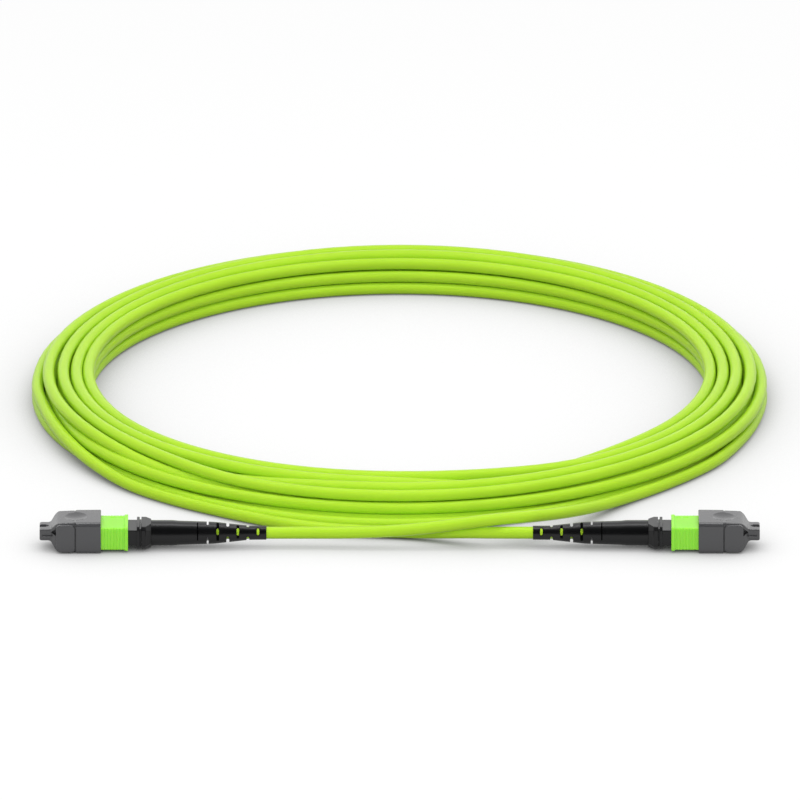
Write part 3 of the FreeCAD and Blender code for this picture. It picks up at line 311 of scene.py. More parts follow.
def plastic(name, pale, deep, roughness, grain, grain_depth, shine=0.5):
    """A plastic in two near shades. grain is its scale in the noise, and grain_depth its bumps in metres."""
    material = FINISHES[name] = bpy.data.materials.new(f"{name}_finish")
    material.use_nodes = True
    nodes, links = material.node_tree.nodes, material.node_tree.links
    surface = nodes["Principled BSDF"]
    surface.inputs["Roughness"].default_value = roughness
    surface.inputs["Specular IOR Level"].default_value = shine
    place = nodes.new("ShaderNodeTexCoord")
    patches = nodes.new("ShaderNodeTexNoise")
    patches.inputs["Scale"].default_value = PATCH_SCALE
    patches.inputs["Detail"].default_value = 3.0
    blend = nodes.new("ShaderNodeMix")
    blend.data_type = "RGBA"
    blend.inputs["A"].default_value = deep
    blend.inputs["B"].default_value = pale
    fine = nodes.new("ShaderNodeTexNoise")
    fine.inputs["Scale"].default_value = grain
    fine.inputs["Detail"].default_value = 2.0
    bump = nodes.new("ShaderNodeBump")
    bump.inputs["Strength"].default_value = 1.0
    bump.inputs["Distance"].default_value = grain_depth
    spread = nodes.new("ShaderNodeMapRange")
    spread.inputs["To Min"].default_value = roughness - SMOOTHER
    spread.inputs["To Max"].default_value = roughness + ROUGHER
    links.new(place.outputs["Object"], patches.inputs["Vector"])
    links.new(place.outputs["Object"], fine.inputs["Vector"])
    links.new(patches.outputs["Fac"], blend.inputs["Factor"])
    links.new(blend.outputs["Result"], surface.inputs["Base Color"])
    links.new(fine.outputs["Fac"], bump.inputs["Height"])
    links.new(bump.outputs["Normal"], surface.inputs["Normal"])
    links.new(patches.outputs["Fac"], spread.inputs["Value"])
    links.new(spread.outputs["Result"], surface.inputs["Roughness"])
    return material


print("patches of about", round(1000 / PATCH_SCALE), "mm")

# %% [markdown]
# ### The plastics
# The jacket is a soft satin green with more yellow in it than the sleeve's. The cap is a mid grey with a fine
# moulded grain that still shines. The boot is the deepest black, because rubber swallows light, and the spring
# push and the housing are a shade above it. Both greens let a little light in, which keeps their shadows warm.

# %% The plastics
PLASTICS = {
    "jacket_green": (shade(184, 227, 56), shade(173, 218, 48), 0.32, 900.0, 0.000012, 0.12),
    "sleeve_green": (shade(160, 243, 80), shade(152, 237, 72), 0.34, 2500.0, 0.00001, 0.12),
    "cap_grey": (shade(73, 73, 75), shade(67, 67, 69), 0.22, 3500.0, 0.000012, 0.6),
    "boot_black": (shade(10, 10, 11), shade(8, 8, 9), 0.3, 3000.0, 0.00001, 0.34),
    "push_black": (shade(16, 16, 18), shade(12, 12, 13), 0.28, 3000.0, 0.000008, 0.33),
    "housing_black": (shade(18, 18, 20), shade(14, 14, 15), 0.3, 3000.0, 0.000008),
    "ferrule_dark": (shade(62, 62, 66), shade(50, 50, 54), 0.3, 6000.0, 0.000004),
    "tail_rubber": (shade(52, 52, 52), shade(40, 40, 40), 0.7, 3000.0, 0.00001),
    "ribbon_plastic": (shade(214, 220, 200), shade(190, 205, 170), 0.25, 2000.0, 0.000004),
}
for name, settings in PLASTICS.items():
    plastic(name, *settings)
cable.data.materials.append(FINISHES["jacket_green"])
print("plastics made:", len(FINISHES))

# %% Let a little light into the greens
for name in ("jacket_green", "sleeve_green"):
    surface = FINISHES[name].node_tree.nodes["Principled BSDF"]
    surface.inputs["Subsurface Weight"].default_value = 0.35
    surface.inputs["Subsurface Radius"].default_value = (1.0, 1.0, 0.2)
    surface.inputs["Subsurface Scale"].default_value = 0.0015
    print(name, "lets in some light")

# %% [markdown]
# ### The metals
# Springs, guide pins, pin clamps and crimp sleeves are plain metal. Drawn or turned metal carries fine lines, so
# the same helper is used again with its noise stretched along the lines, and the Metallic socket turned up.

# %% A helper for metals
METAL_GRAIN, METAL_GRAIN_DEPTH = 2500.0, 0.000003


def metal(name, pale, deep, roughness, stretch):
    """Drawn or turned metal. The noise is stretched along each direction whose number is small."""
    material = plastic(name, pale, deep, roughness, METAL_GRAIN, METAL_GRAIN_DEPTH)
    nodes, links = material.node_tree.nodes, material.node_tree.links
    nodes["Principled BSDF"].inputs["Metallic"].default_value = 1.0
    lines = nodes.new("ShaderNodeMapping")
    lines.inputs["Scale"].default_value = stretch
    place = [n for n in nodes if n.bl_idname == "ShaderNodeTexCoord"][0]
    links.new(place.outputs["Object"], lines.inputs["Vector"])
    for noise in [n for n in nodes if n.bl_idname == "ShaderNodeTexNoise"]:
        links.new(lines.outputs["Vector"], noise.inputs["Vector"])


METALS = {
    "spring_steel": (shade(205, 206, 208), shade(170, 171, 174), 0.28, (1.0, 1.0, 1.0)),
    "pin_steel": (shade(226, 227, 229), shade(204, 205, 208), 0.16, (0.1, 1.0, 1.0)),
    "clamp_steel": (shade(198, 199, 202), shade(172, 173, 176), 0.32, (1.0, 0.1, 1.0)),
    "crimp_metal": (shade(206, 207, 210), shade(184, 185, 189), 0.3, (1.0, 0.2, 0.2)),
}
for name, settings in METALS.items():
    metal(name, *settings)
print("finishes:", sorted(FINISHES))

# %% [markdown]
# ## How a moulded piece is made here
# The solids already have the right places and outlines. What they lack is what catches the light: the small
# rounds that every moulded edge has. Rounding a finished solid afterwards tears at its thin steps, so the
# visible pieces are drawn again from their sections instead. A section is a rectangle with four round or flat
# corners, given at a distance behind the tip of the cap. A skin is pulled over a row of sections, and wherever
# the row turns a corner the turn is softened first. That is one rule for every edge of every piece. A station in
# such a row is always (behind, half_width, low, high, corner, flat, round), in millimetres: the section's place
# and size, its corner radius, 1 for flat corners, and how far the turn in the row is softened.

# %% Places on a plug
TIP = {"right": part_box("dust_cap_right")[1].x / MM, "left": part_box("dust_cap_left")[0].x / MM}
AXIS_HEIGHT = (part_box("dust_cap_right")[0].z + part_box("dust_cap_right")[1].z) / 2 / MM
SIDES = ("right", "left")
print("cap tips at", {side: round(tip, 2) for side, tip in TIP.items()}, "axis height", round(AXIS_HEIGHT, 3))


def at_plug(side, behind, across, up):
    """A place on a plug: how far behind the tip of its cap, across it and above its axis, in millimetres."""
    turn = 1 if side == "right" else -1
    return Vector(((TIP[side] - behind * turn) * MM, across * turn * MM, (AXIS_HEIGHT + up) * MM))


# %% One section
CORNER_POINTS = 7


def section(half_width, low, high, corner, flat):
    """Points round one section. The corners are round, or flat if flat is 1."""
    middles = [
        (half_width - corner, low + corner, -90), (half_width - corner, high - corner, 0),
        (corner - half_width, high - corner, 90), (corner - half_width, low + corner, 180),
    ]
    points = []
    for across, up, first in middles:
        ends = [math.radians(first), math.radians(first + 90)]
        for step in range(CORNER_POINTS):
            share = step / (CORNER_POINTS - 1)
            turn = math.radians(first + 90 * share)
            straight = [math.cos(ends[0]) * (1 - share) + math.cos(ends[1]) * share,
                        math.sin(ends[0]) * (1 - share) + math.sin(ends[1]) * share]
            points.append((
                across + corner * (math.cos(turn) * (1 - flat) + straight[0] * flat),
                up + corner * (math.sin(turn) * (1 - flat) + straight[1] * flat),
            ))
    return points


print("points in a section:", len(section(2.0, -1.0, 1.0, 0.3, 0)))

# %% Soften the turns in a row of sections
SOFT_STEPS = 4
MOST_OF_A_RUN = 0.48


def soften(stations):
    """Round off each turn in the row. A turn never takes up more than half of the run on either side of it."""
    rows = [tuple(station[:6]) for station in stations]
    softened = [rows[0]]
    for number in range(1, len(rows) - 1):
        here, radius = rows[number], stations[number][6]
        ends = []
        for other in (rows[number - 1], rows[number + 1]):
            reach = math.dist(here[:4], other[:4])
            share = min(radius / reach, MOST_OF_A_RUN) if reach > 1e-6 else 0.0
            ends.append([h + (o - h) * share for h, o in zip(here, other)])
        if radius <= 0:
            softened.append(here)
            continue
        for step in range(SOFT_STEPS + 1):
            t = step / SOFT_STEPS
            softened.append(tuple(
                (1 - t) ** 2 * a + 2 * t * (1 - t) * h + t * t * b for a, h, b in zip(ends[0], here, ends[1])
            ))
    softened.append(rows[-1])
    return softened


sample_row = [(0, 1, -1, 1, 0.1, 0, 0), (1, 1, -1, 1, 0.1, 0, 0.2), (1, 2, -2, 2, 0.1, 0, 0)]
print("three stations become", len(soften(sample_row)))

# %% Pull a skin over the sections
def skin(stations, place, loop=False):
    """Points and faces of a skin over the stations. place turns (where, across, up) into a point in metres."""
    rows = soften(stations)
    if loop:
        rows = rows[:-1]
    rings = [[place(row[0], *spot) for spot in section(*row[1:6])] for row in rows]
    count = len(rings[0])
    faces = []
    for first in range(len(rings) if loop else len(rings) - 1):
        second = (first + 1) % len(rings)
        for n in range(count):
            m = (n + 1) % count
            faces.append((first * count + n, first * count + m, second * count + m, second * count + n))
    if not loop:
        faces.append(tuple(reversed(range(count))))
        faces.append(tuple((len(rings) - 1) * count + n for n in range(count)))
    return [spot for ring in rings for spot in ring], faces


def plug_skin(side, stations, loop=False):
    """A skin in the plug's own places: behind the cap's tip, across, and above the axis."""
    return skin(stations, lambda behind, across, up: at_plug(side, behind, across, up), loop)


print("faces in a skin of three stations:", len(plug_skin("right", sample_row)[1]))

# %% Make a piece from skins, and carve it
SAME_PLACE = 0.0000005


def piece_of(name, *skins):
    """One piece from one or more skins, with every face turned outwards."""
    places, faces = [], []
    for skin_places, skin_faces in skins:
        faces += [tuple(len(places) + n for n in face) for face in skin_faces]
        places += skin_places
    mesh = bpy.data.meshes.new(name)
    mesh.from_pydata(places, [], faces)
    work = bmesh.new()
    work.from_mesh(mesh)
    bmesh.ops.remove_doubles(work, verts=work.verts, dist=SAME_PLACE)
    bmesh.ops.recalc_face_normals(work, faces=work.faces)
    work.to_mesh(mesh)
    work.free()
    piece = bpy.data.objects.new(name, mesh)
    bpy.context.scene.collection.objects.link(piece)
    return piece


def carve(piece, cutter):
    """Take one piece away from another and throw the cutter away."""
    before = len(piece.data.polygons)
    bite = piece.modifiers.new("bite", "BOOLEAN")
    bite.object = cutter
    bite.solver = "EXACT"
    shape = bpy.data.meshes.new_from_object(piece.evaluated_get(bpy.context.evaluated_depsgraph_get()))
    piece.modifiers.clear()
    old, piece.data = piece.data, shape
    bpy.data.meshes.remove(old)
    bpy.data.objects.remove(cutter)
    print(piece.name, "carved:", before, "faces became", len(shape.polygons))


print("points within", round(SAME_PLACE * 1e6, 1), "micrometres of each other become one")

# %% [markdown]
# ## Dressing a solid
# A drawn piece has to move with the body of the solid that it stands for, hide that solid, and wear its finish.
# Flat faces that meet a round stay flat only if their normals are weighted by the size of the faces, so every
# piece gets a Weighted Normal modifier, and edges that turn by more than fifty degrees stay sharp.

# %% Put a piece in a solid's place
SHARP_TURN = math.radians(50)
body_of = {node: body for body, nodes in frame["record"]["behaviour"]["bodies"].items() for node in nodes}
slot_of = {entry["node"]: entry["material_slot"] for entry in frame["record"]["subparts"]}


def dress(piece, node):
    """Let a piece stand for a solid: shade it smooth, keep its flat faces flat, and give it its finish."""
    for face in piece.data.polygons:
        face.use_smooth = True
    piece.data.set_sharp_from_angle(angle=SHARP_TURN)
    weigh = piece.modifiers.new("keep_flats_flat", "WEIGHTED_NORMAL")
    weigh.keep_sharp = True
    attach(piece, body_of[node])
    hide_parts(node)
    piece.data.materials.clear()
    piece.data.materials.append(FINISHES[slot_of[node]])
    print(piece.name, "faces:", len(piece.data.polygons))


print("solids with a finish:", len(slot_of), "on bodies:", sorted(set(body_of.values())))

# %% [markdown]
# ## The dust cap
# On the real lead this is a soft moulded cover that is pulled off by hand. It has a slotted nose, a shoulder
# that sweeps out on all sides, a front half with a finger pad on each side, and a rear half that grips the
# sleeve. A thumb dimple is sunk in the top. The skin runs over the outside, turns in at the rear mouth and goes
# down the stepped hollow, so that an empty cap looks right as well.

# %% The outside and the hollow of the cap
CAP_OUTSIDE = [
    (0.0, 2.4, -0.4, 1.3, 0.3, 0, 0),
    (0.0, 3.8, -1.4, 2.5, 0.45, 0, 0.8),
    (3.55, 3.8, -1.4, 2.5, 0.45, 0, 0.9),
    (5.7, 6.3, -4.7, 5.45, 0.7, 0, 2.0),
    (11.35, 6.3, -4.7, 5.68, 0.8, 0, 0.06),
    (11.4, 6.1, -4.7, 5.68, 0.8, 0, 0.04),
    (11.85, 6.1, -4.7, 5.7, 0.8, 0, 0.04),
    (11.95, 7.1, -4.875, 5.75, 1.4, 0, 0.15),
    (20.1, 7.1, -4.875, 5.85, 1.4, 0, 0.4),
]
CAP_HOLLOW = [
    (20.1, 6.32, -3.97, 3.97, 0.4, 0, 0.15),
    (12.28, 6.32, -3.97, 3.97, 0.4, 0, 0.1),
    (12.28, 4.97, -2.82, 2.82, 0.2, 0, 0.1),
    (7.08, 4.97, -2.82, 2.82, 0.2, 0, 0.1),
    (7.08, 3.44, -1.49, 1.49, 0.1, 0, 0.05),
    (6.16, 3.44, -1.49, 1.49, 0.1, 0, 0),
]
print("cap length", CAP_OUTSIDE[-1][0], "mm, depth of the hollow", CAP_HOLLOW[0][0] - CAP_HOLLOW[-1][0], "mm")

# %% [markdown]
# ### What is added to the cap and cut from it
# The finger pads and the ribs beside the nose are blocks that stand on the sides. Behind the nose there is a
# three-cornered pocket on each side, and the nose itself has a slot with a pointed end. Two round holes deep
# inside make room for the tips of the guide pins. The dimple is the bottom of a large ball: from its width at
# the rim and its depth the ball's radius follows.

# %% Blocks on the sides
PAD = (8.5, 3.1, -4.3, 5.05, 1.3, 5.6, 7.1, 0.4)
NOSE_RIB = (2.75, 1.95, -0.25, 0.4, 0.15, 3.4, 4.55, 0.15)
THIN_CORNER = 0.1


def side_block(side, hand, middle, half_length, low, high, corner, inner, outer, edge):
    """A block on the side of a plug with rounded corners and edges. hand is 1 for one side and -1 for the other."""
    rows = [
        (inner, half_length, low, high, corner, 0, 0),
        (outer, half_length, low, high, corner, 0, edge),
        (outer, half_length - corner, low + corner, high - corner, THIN_CORNER, 0, 0),
    ]
    return skin(rows, lambda out, along, up: at_plug(side, middle + along, out * hand, up))


print("finger pad", 2 * PAD[1], "mm long, proud to", PAD[6], "mm from the middle")

# %% Pockets beside the nose
POCKET = ((3.75, 1.65), (5.6, 4.0), (5.6, 0.9))
POCKET_INNER, POCKET_OUTER = 3.3, 8.0


def pocket(side, hand):
    """A three-cornered cutter. Its corners are (behind, up), and it reaches from inner to outer across."""
    reach = (POCKET_INNER, POCKET_OUTER)
    places = [at_plug(side, behind, out * hand, up) for out in reach for behind, up in POCKET]
    return places, [(0, 1, 2), (5, 4, 3), (0, 3, 4, 1), (1, 4, 5, 2), (2, 5, 3, 0)]


print("pocket corners, behind and up:", POCKET)

# %% The nose slot and the room for the pins
NOSE_SLOT = [
    (-2.0, 1.15, -0.4, 3.5, 0.05, 0, 0),
    (1.95, 1.15, -0.4, 3.5, 0.05, 0, 0),
    (3.0, 0.4, -0.4, 3.5, 0.05, 0, 0),
]
PIN_PITCH, PIN_ROOM = 4.6, 0.45
PIN_ROOM_ENDS = (4.2, 6.6)
NEARLY_ROUND = 0.98


def pin_room(side, hand):
    """A hole in the depth of the cap that takes the tip of one guide pin."""
    corner = PIN_ROOM * NEARLY_ROUND
    rows = [(behind, PIN_ROOM, -PIN_ROOM, PIN_ROOM, corner, 0, 0) for behind in PIN_ROOM_ENDS]
    return skin(rows, lambda behind, across, up: at_plug(side, behind, across + PIN_PITCH / 2 * hand, up))


print("room for the pins", PIN_ROOM_ENDS[1] - PIN_ROOM_ENDS[0], "mm long")

# %% The ball for the dimple
DIMPLE_RIM, DIMPLE_DEPTH, DIMPLE_AT, DIMPLE_TOP = 3.8, 0.65, 11.5, 5.68
BALL_RADIUS = (DIMPLE_RIM ** 2 + DIMPLE_DEPTH ** 2) / (2 * DIMPLE_DEPTH)
BALL_ROUND, BALL_UP = 160, 80


def ball(name, middle, radius):
    """A fine ball. Only a small cap of it cuts, so it has many more faces than it seems to need."""
    work = bmesh.new()
    bmesh.ops.create_uvsphere(work, u_segments=BALL_ROUND, v_segments=BALL_UP, radius=radius * MM)
    bmesh.ops.translate(work, vec=middle, verts=work.verts)
    mesh = bpy.data.meshes.new(name)
    work.to_mesh(mesh)
    work.free()
    piece = bpy.data.objects.new(name, mesh)
    bpy.context.scene.collection.objects.link(piece)
    return piece


print("ball radius", round(BALL_RADIUS, 2), "mm")

# %% Put the caps together
HANDS = (1, -1)


def join_into(piece, other):
    """Add another piece's mesh to this one."""
    work = bmesh.new()
    work.from_mesh(piece.data)
    work.from_mesh(other.data)
    work.to_mesh(piece.data)
    work.free()
    bpy.data.objects.remove(other)


for side in SIDES:
    cap = piece_of(f"dust_cap_{side}_shell", plug_skin(side, CAP_OUTSIDE + CAP_HOLLOW))
    cutters = [pocket(side, hand) for hand in HANDS] + [pin_room(side, hand) for hand in HANDS]
    carve(cap, piece_of("cut", *cutters, plug_skin(side, NOSE_SLOT)))
    carve(cap, ball("cut", at_plug(side, DIMPLE_AT, 0, DIMPLE_TOP + BALL_RADIUS - DIMPLE_DEPTH), BALL_RADIUS))
    blocks = [side_block(side, hand, *block) for hand in HANDS for block in (PAD, NOSE_RIB)]
    join_into(cap, piece_of("pads", *blocks))
    dress(cap, f"dust_cap_{side}")

# %% [markdown]
# ## The coupling sleeve
# The sleeve is what the fingers pull back to free the plug. It is a square tube with a low flange, fine ribs
# on both sides for grip, and two shallow bands in the top, which are left bare here. The ribs are rows of
# sections that step in and out by about a sixth of a millimetre, on the sides only.

# %% The sleeve's sections
SLEEVE_FRONT = [(12.4, 5.3, -2.8, 2.8, 0.15, 0, 0), (12.4, 6.2, -3.85, 3.85, 0.5, 0, 0.15)]
SLEEVE_BACK = [
    (27.8, 6.2, -3.85, 3.85, 0.5, 0, 0.05), (27.95, 6.5, -4.15, 4.15, 0.6, 0, 0.1),
    (29.0, 6.5, -4.15, 4.15, 0.6, 0, 0.25), (29.0, 5.3, -2.8, 2.8, 0.15, 0, 0.1),
    (12.4, 5.3, -2.8, 2.8, 0.15, 0, 0),
]
RIB_FIRST, RIB_PITCH, RIB_COUNT, RIB_DEPTH = 20.95, 1.0, 7, 0.16
GROOVE = ((0, 0), (0.14, RIB_DEPTH), (0.32, RIB_DEPTH), (0.46, 0))
BARREL_HALF_WIDTH, BARREL_HALF_HEIGHT = 6.2, 3.85

sleeve_rows = list(SLEEVE_FRONT)
for number in range(RIB_COUNT):
    for further, drop in GROOVE:
        behind = RIB_FIRST + RIB_PITCH * number + further
        sleeve_rows.append((behind, BARREL_HALF_WIDTH - drop, -BARREL_HALF_HEIGHT, BARREL_HALF_HEIGHT, 0.5, 0, 0))
sleeve_rows += SLEEVE_BACK
print("stations in the sleeve:", len(sleeve_rows))

# %% Make the sleeves
BANDS = ((23.3, 25.2), (25.8, 27.5))
BAND_HALF_WIDTH, BAND_DEPTH, BAND_CORNER = 4.6, 0.18, 0.3
LATCH_PASSAGE = (11.0, 30.0, 1.6, -3.4, 3.4, 0.05)
ABOVE_THE_TOP = 5.0


def box_cutter(side, near, far, half_width, low, high, corner):
    """A straight cutter along a plug, from near to far behind the cap's tip."""
    return plug_skin(side, [(behind, half_width, low, high, corner, 0, 0) for behind in (near, far)])


for side in SIDES:
    sleeve = piece_of(f"coupling_sleeve_{side}_shell", plug_skin(side, sleeve_rows, loop=True))
    floor = BARREL_HALF_HEIGHT - BAND_DEPTH
    bands = [box_cutter(side, *band, BAND_HALF_WIDTH, floor, ABOVE_THE_TOP, BAND_CORNER) for band in BANDS]
    carve(sleeve, piece_of("cut", box_cutter(side, *LATCH_PASSAGE), *bands))
    dress(sleeve, f"coupling_sleeve_{side}")

# %% [markdown]
# ## The spring push
# Behind the sleeve sits a black block that holds the big spring in place. Its neck, an eight-sided ring and a
# thinner waist show between the sleeve and the boot. The snout inside and the round crimp barrel belong to the
# same moulding, and the fibres run through all of it, so this is one long tube.

# %% The spring push
PUSH_ROWS = [
    (23.0, 2.3, -0.85, 0.85, 0.1, 0, 0), (23.0, 3.65, -1.6, 1.6, 0.1, 0, 0.05),
    (28.68, 3.65, -1.6, 1.6, 0.1, 0, 0.05), (28.68, 5.2, -2.7, 2.7, 0.3, 0, 0.1),
    (31.9, 5.2, -2.7, 2.7, 0.3, 0, 0.05), (31.9, 5.8, -3.85, 3.85, 1.15, 1, 0.12),
    (32.8, 5.8, -3.85, 3.85, 1.15, 1, 0.12), (32.8, 4.7, -3.0, 3.0, 0.2, 0, 0.05),
    (33.3, 4.7, -3.0, 3.0, 0.2, 0, 0.05), (33.3, 2.5, -2.5, 2.5, 2.5, 0, 0.05),
    (38.2, 2.5, -2.5, 2.5, 2.5, 0, 0.1), (38.2, 1.85, -1.85, 1.85, 1.85, 0, 0.05),
    (32.8, 1.85, -1.85, 1.85, 1.85, 0, 0), (32.8, 2.3, -0.85, 0.85, 0.1, 0, 0),
    (23.0, 2.3, -0.85, 0.85, 0.1, 0, 0),
]
for side in SIDES:
    dress(piece_of(f"spring_push_{side}_shell", plug_skin(side, PUSH_ROWS, loop=True)), f"spring_push_{side}")

# %% [markdown]
# ## The boot
# The boot keeps the cable from bending sharply where it leaves the plug. Its head has eight sides and drops to
# a round tail that gets thinner in steps. Pairs of cross slots, by turns in one plane and in the plane square
# to it, let the tail bend. The first slots are shallow and the later ones reach the cable, which shows green.

# %% The boot's sections
BOOT_ROWS = [
    (33.35, 3.15, -3.15, 3.15, 3.15, 0, 0), (33.35, 5.8, -3.85, 3.85, 1.15, 1, 0.12),
    (34.8, 5.8, -3.85, 3.85, 1.15, 1, 0.15), (36.55, 4.45, -4.05, 4.05, 2.2, 1, 0.1),
    (36.6, 4.2, -4.2, 4.2, 4.2, 0, 0.02), (43.6, 4.18, -4.18, 4.18, 4.18, 0, 0.3),
    (45.6, 3.98, -3.98, 3.98, 3.98, 0, 0.5), (57.3, 3.62, -3.62, 3.62, 3.62, 0, 1.5),
    (68.8, 2.34, -2.34, 2.34, 2.34, 0, 0.8), (74.35, 2.3, -2.3, 2.3, 2.3, 0, 0.15),
    (74.35, 2.03, -2.03, 2.03, 2.03, 0, 0.05), (42.0, 2.03, -2.03, 2.03, 2.03, 0, 0.05),
    (42.0, 3.15, -3.15, 3.15, 3.15, 0, 0.05), (33.35, 3.15, -3.15, 3.15, 3.15, 0, 0),
]
print("boot length", round(BOOT_ROWS[9][0] - BOOT_ROWS[0][0], 2), "mm")

# %% Cross slots
SLOT_FIRST, SLOT_PITCH = 51.8, 3.3
SLOT_WIDTHS = (0.4, 0.62, 0.9, 0.95, 0.9, 0.95, 0.9)
SLOT_FLOORS = (2.25, 2.1, 1.7, 1.6, 1.6, 1.6, 1.65)
SLOT_TURN = math.radians(30)
SLOT_HALF_SPAN, SLOT_OUTER = 6.0, 7.0


def slot_cutter(side, behind, width, floor, turn):
    """A cutter across the boot. It stands off the axis by floor and has a round bottom."""
    def place(across, along, out):
        return at_plug(
            side, behind + along, across * math.cos(turn) - out * math.sin(turn),
            across * math.sin(turn) + out * math.cos(turn),
        )
    half, span = width / 2, SLOT_HALF_SPAN
    rows = [(across, half, floor, SLOT_OUTER, half * NEARLY_ROUND, 0, 0) for across in (-span, span)]
    return skin(rows, place)


print("slots in each boot:", 2 * len(SLOT_WIDTHS))

# %% Make the boots
for side in SIDES:
    boot = piece_of(f"boot_{side}_shell", plug_skin(side, BOOT_ROWS, loop=True))
    lean = SLOT_TURN if side == "left" else -SLOT_TURN
    cutters = []
    for number, (width, floor) in enumerate(zip(SLOT_WIDTHS, SLOT_FLOORS)):
        quarter = math.pi / 2 if number % 2 == 0 else 0.0
        for half_turn in (0.0, math.pi):
            turn = lean + quarter + half_turn
            cutters.append(slot_cutter(side, SLOT_FIRST + SLOT_PITCH * number, width, floor, turn))
    carve(boot, piece_of("cut", *cutters))
    dress(boot, f"boot_{side}")

# %% [markdown]
# ## The pieces inside
# The housing, the ferrule with its pins and clamp, the springs, the ribbon and the crimp sleeve are right as the
# solids make them. They show only when a cap is off, so they keep their own meshes and just get their finishes.

# %% The solids that are shown as they are
for node, solid in frame["nodes"].items():
    solid.data.materials.clear()
    solid.data.materials.append(FINISHES[slot_of[node]])
print("solids kept:", len([solid for solid in frame["nodes"].values() if not solid.hide_render]))

# %% [markdown]
# ## The table
# Small goods look clean on a white table, with a wide soft shadow where they touch it. The white has two parts
# here. A grey paint catches the lamps, so it takes the real shadows, and a glow lifts it to paper white. The
# glow is dimmed by ambient occlusion where something stands nearby, which paints a wide soft shadow round the
# real one. Light that bounces on from the table to the lead sees a plain grey instead, so that the undersides
# aren't flooded with light.

# %% The table
TABLE_WIDTH, TABLE_DROP = 8.0, 0.00002
PAINT, LIFT = 0.2, 0.8
BOUNCE = 0.3
PAINTED_SHADOW_REACH, PAINTED_SHADOW_SAMPLES = 0.1, 8


def grey_of(amount):
    """A neutral grey for a colour socket."""
    return (amount, amount, amount, 1.0)


def white_table():
    """A wide table a hair below the lead."""
    bpy.ops.mesh.primitive_plane_add(size=TABLE_WIDTH, location=(0, 0, -TABLE_DROP))
    table = bpy.context.object
    table.name = "table"
    material = bpy.data.materials.new("table_white")
    material.use_nodes = True
    nodes, links = material.node_tree.nodes, material.node_tree.links
    nodes.clear()
    output = nodes.new("ShaderNodeOutputMaterial")
    bounce, paint = nodes.new("ShaderNodeBsdfDiffuse"), nodes.new("ShaderNodeBsdfDiffuse")
    bounce.inputs["Color"].default_value = grey_of(BOUNCE)
    paint.inputs["Color"].default_value = grey_of(PAINT)
    # Ambient occlusion dims the glow near the lead and plugs: a painted shadow on the table, added to the real
    # shadows in the paint.
    painted_shadow_occlusion = nodes.new("ShaderNodeAmbientOcclusion")
    painted_shadow_occlusion.samples = PAINTED_SHADOW_SAMPLES
    painted_shadow_occlusion.inputs["Distance"].default_value = PAINTED_SHADOW_REACH
    glow = nodes.new("ShaderNodeEmission")
    glow.inputs["Strength"].default_value = LIFT
    links.new(painted_shadow_occlusion.outputs["Color"], glow.inputs["Color"])
    bright = nodes.new("ShaderNodeAddShader")
    path = nodes.new("ShaderNodeLightPath")
    seen = nodes.new("ShaderNodeMixShader")
    links.new(paint.outputs[0], bright.inputs[0])
    links.new(glow.outputs[0], bright.inputs[1])
    links.new(path.outputs["Is Diffuse Ray"], seen.inputs["Fac"])
    links.new(bright.outputs[0], seen.inputs[1])
    links.new(bounce.outputs[0], seen.inputs[2])
    links.new(seen.outputs[0], output.inputs["Surface"])
    table.data.materials.append(material)


white_table()
print("table", TABLE_WIDTH, "m wide, the glow fades within", PAINTED_SHADOW_REACH, "m of things")

# %% [markdown]
# ## The world round the table
# The world shows three faces. The camera sees plain white behind the table. Matt faces are lit by an even sky
# that is dimmer than white. Shiny faces mirror a sky that is nearly black in front and bright at the back, so
# that the black mouldings stay black towards the viewer and get a light edge along the top.

# %% The world
SKY_LIGHT, BACKGROUND = 0.58, 1.0
MIRRORED_WHITE, MIRRORED_FRONT, MIRRORED_BACK = 0.8, 0.03, 1.7
DARK_UNTIL, BRIGHT_FROM = -0.65, 0.6

world = bpy.data.worlds.new("studio")
bpy.context.scene.world = world
world.use_nodes = True
nodes, links = world.node_tree.nodes, world.node_tree.links
nodes.clear()


def glow_of(white, strength):
    """Neutral light of a given strength from all round."""
    node = nodes.new("ShaderNodeBackground")
    node.inputs["Color"].default_value = grey_of(white)
    node.inputs["Strength"].default_value = strength
    return node


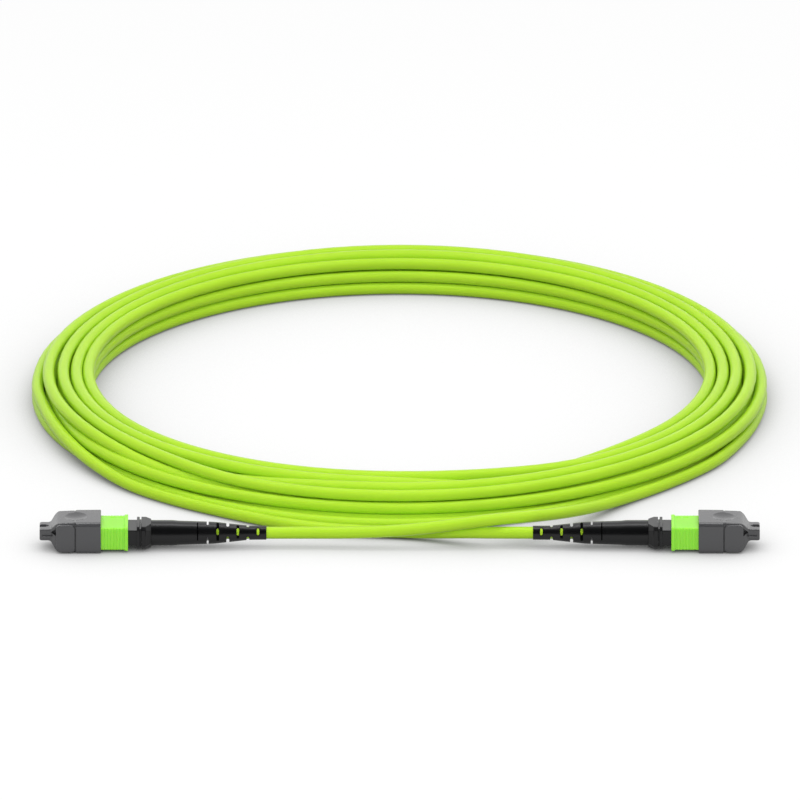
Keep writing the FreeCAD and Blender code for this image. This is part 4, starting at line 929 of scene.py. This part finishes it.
output = nodes.new("ShaderNodeOutputWorld")
where, parts_of = nodes.new("ShaderNodeTexCoord"), nodes.new("ShaderNodeSeparateXYZ")
front_to_back = nodes.new("ShaderNodeMapRange")
front_to_back.interpolation_type = "SMOOTHSTEP"
front_to_back.inputs["From Min"].default_value = DARK_UNTIL
front_to_back.inputs["From Max"].default_value = BRIGHT_FROM
front_to_back.inputs["To Min"].default_value = MIRRORED_FRONT
front_to_back.inputs["To Max"].default_value = MIRRORED_BACK
mirrored = glow_of(MIRRORED_WHITE, MIRRORED_BACK)
even, plain = glow_of(1.0, SKY_LIGHT), glow_of(1.0, BACKGROUND)
path = nodes.new("ShaderNodeLightPath")
for_mirror, for_camera = nodes.new("ShaderNodeMixShader"), nodes.new("ShaderNodeMixShader")
links.new(where.outputs["Generated"], parts_of.inputs[0])
links.new(parts_of.outputs["Y"], front_to_back.inputs["Value"])
links.new(front_to_back.outputs["Result"], mirrored.inputs["Strength"])
links.new(path.outputs["Is Glossy Ray"], for_mirror.inputs["Fac"])
links.new(even.outputs[0], for_mirror.inputs[1])
links.new(mirrored.outputs[0], for_mirror.inputs[2])
links.new(path.outputs["Is Camera Ray"], for_camera.inputs["Fac"])
links.new(for_mirror.outputs[0], for_camera.inputs[1])
links.new(plain.outputs[0], for_camera.inputs[2])
links.new(for_camera.outputs[0], output.inputs["Surface"])
print("sky", SKY_LIGHT, "mirrored from", MIRRORED_FRONT, "in front to", MIRRORED_BACK, "at the back")

# %% [markdown]
# ## Two softboxes
# A long softbox overhead draws the light line along the top of every turn and gives the shadows their
# direction. A second one stands in front and fills the near sides. It is kept out of reflections, because a
# mirrored box in front would lay a grey sheen over the black mouldings.

# %% The softboxes
def softbox(name, place, aim, size, power, mirrored=True):
    """A rectangular lamp at a place in metres, turned towards aim, with its power in watts."""
    light = bpy.data.lights.new(name, "AREA")
    light.shape = "RECTANGLE"
    light.size, light.size_y = size
    light.energy = power
    box = bpy.data.objects.new(name, light)
    bpy.context.scene.collection.objects.link(box)
    box.location = place
    box.visible_glossy = mirrored
    box.rotation_euler = (Vector(aim) - Vector(place)).to_track_quat("-Z", "Y").to_euler()
    print(name, size[0], "by", size[1], "m,", power, "W")


softbox("overhead", (0.0, 0.16, 0.9), (0, 0.12, 0), (1.2, 0.22), 3.9)
softbox("front_fill", (0.0, -0.9, 0.5), (0, 0.05, 0), (0.8, 0.4), 4.6, mirrored=False)
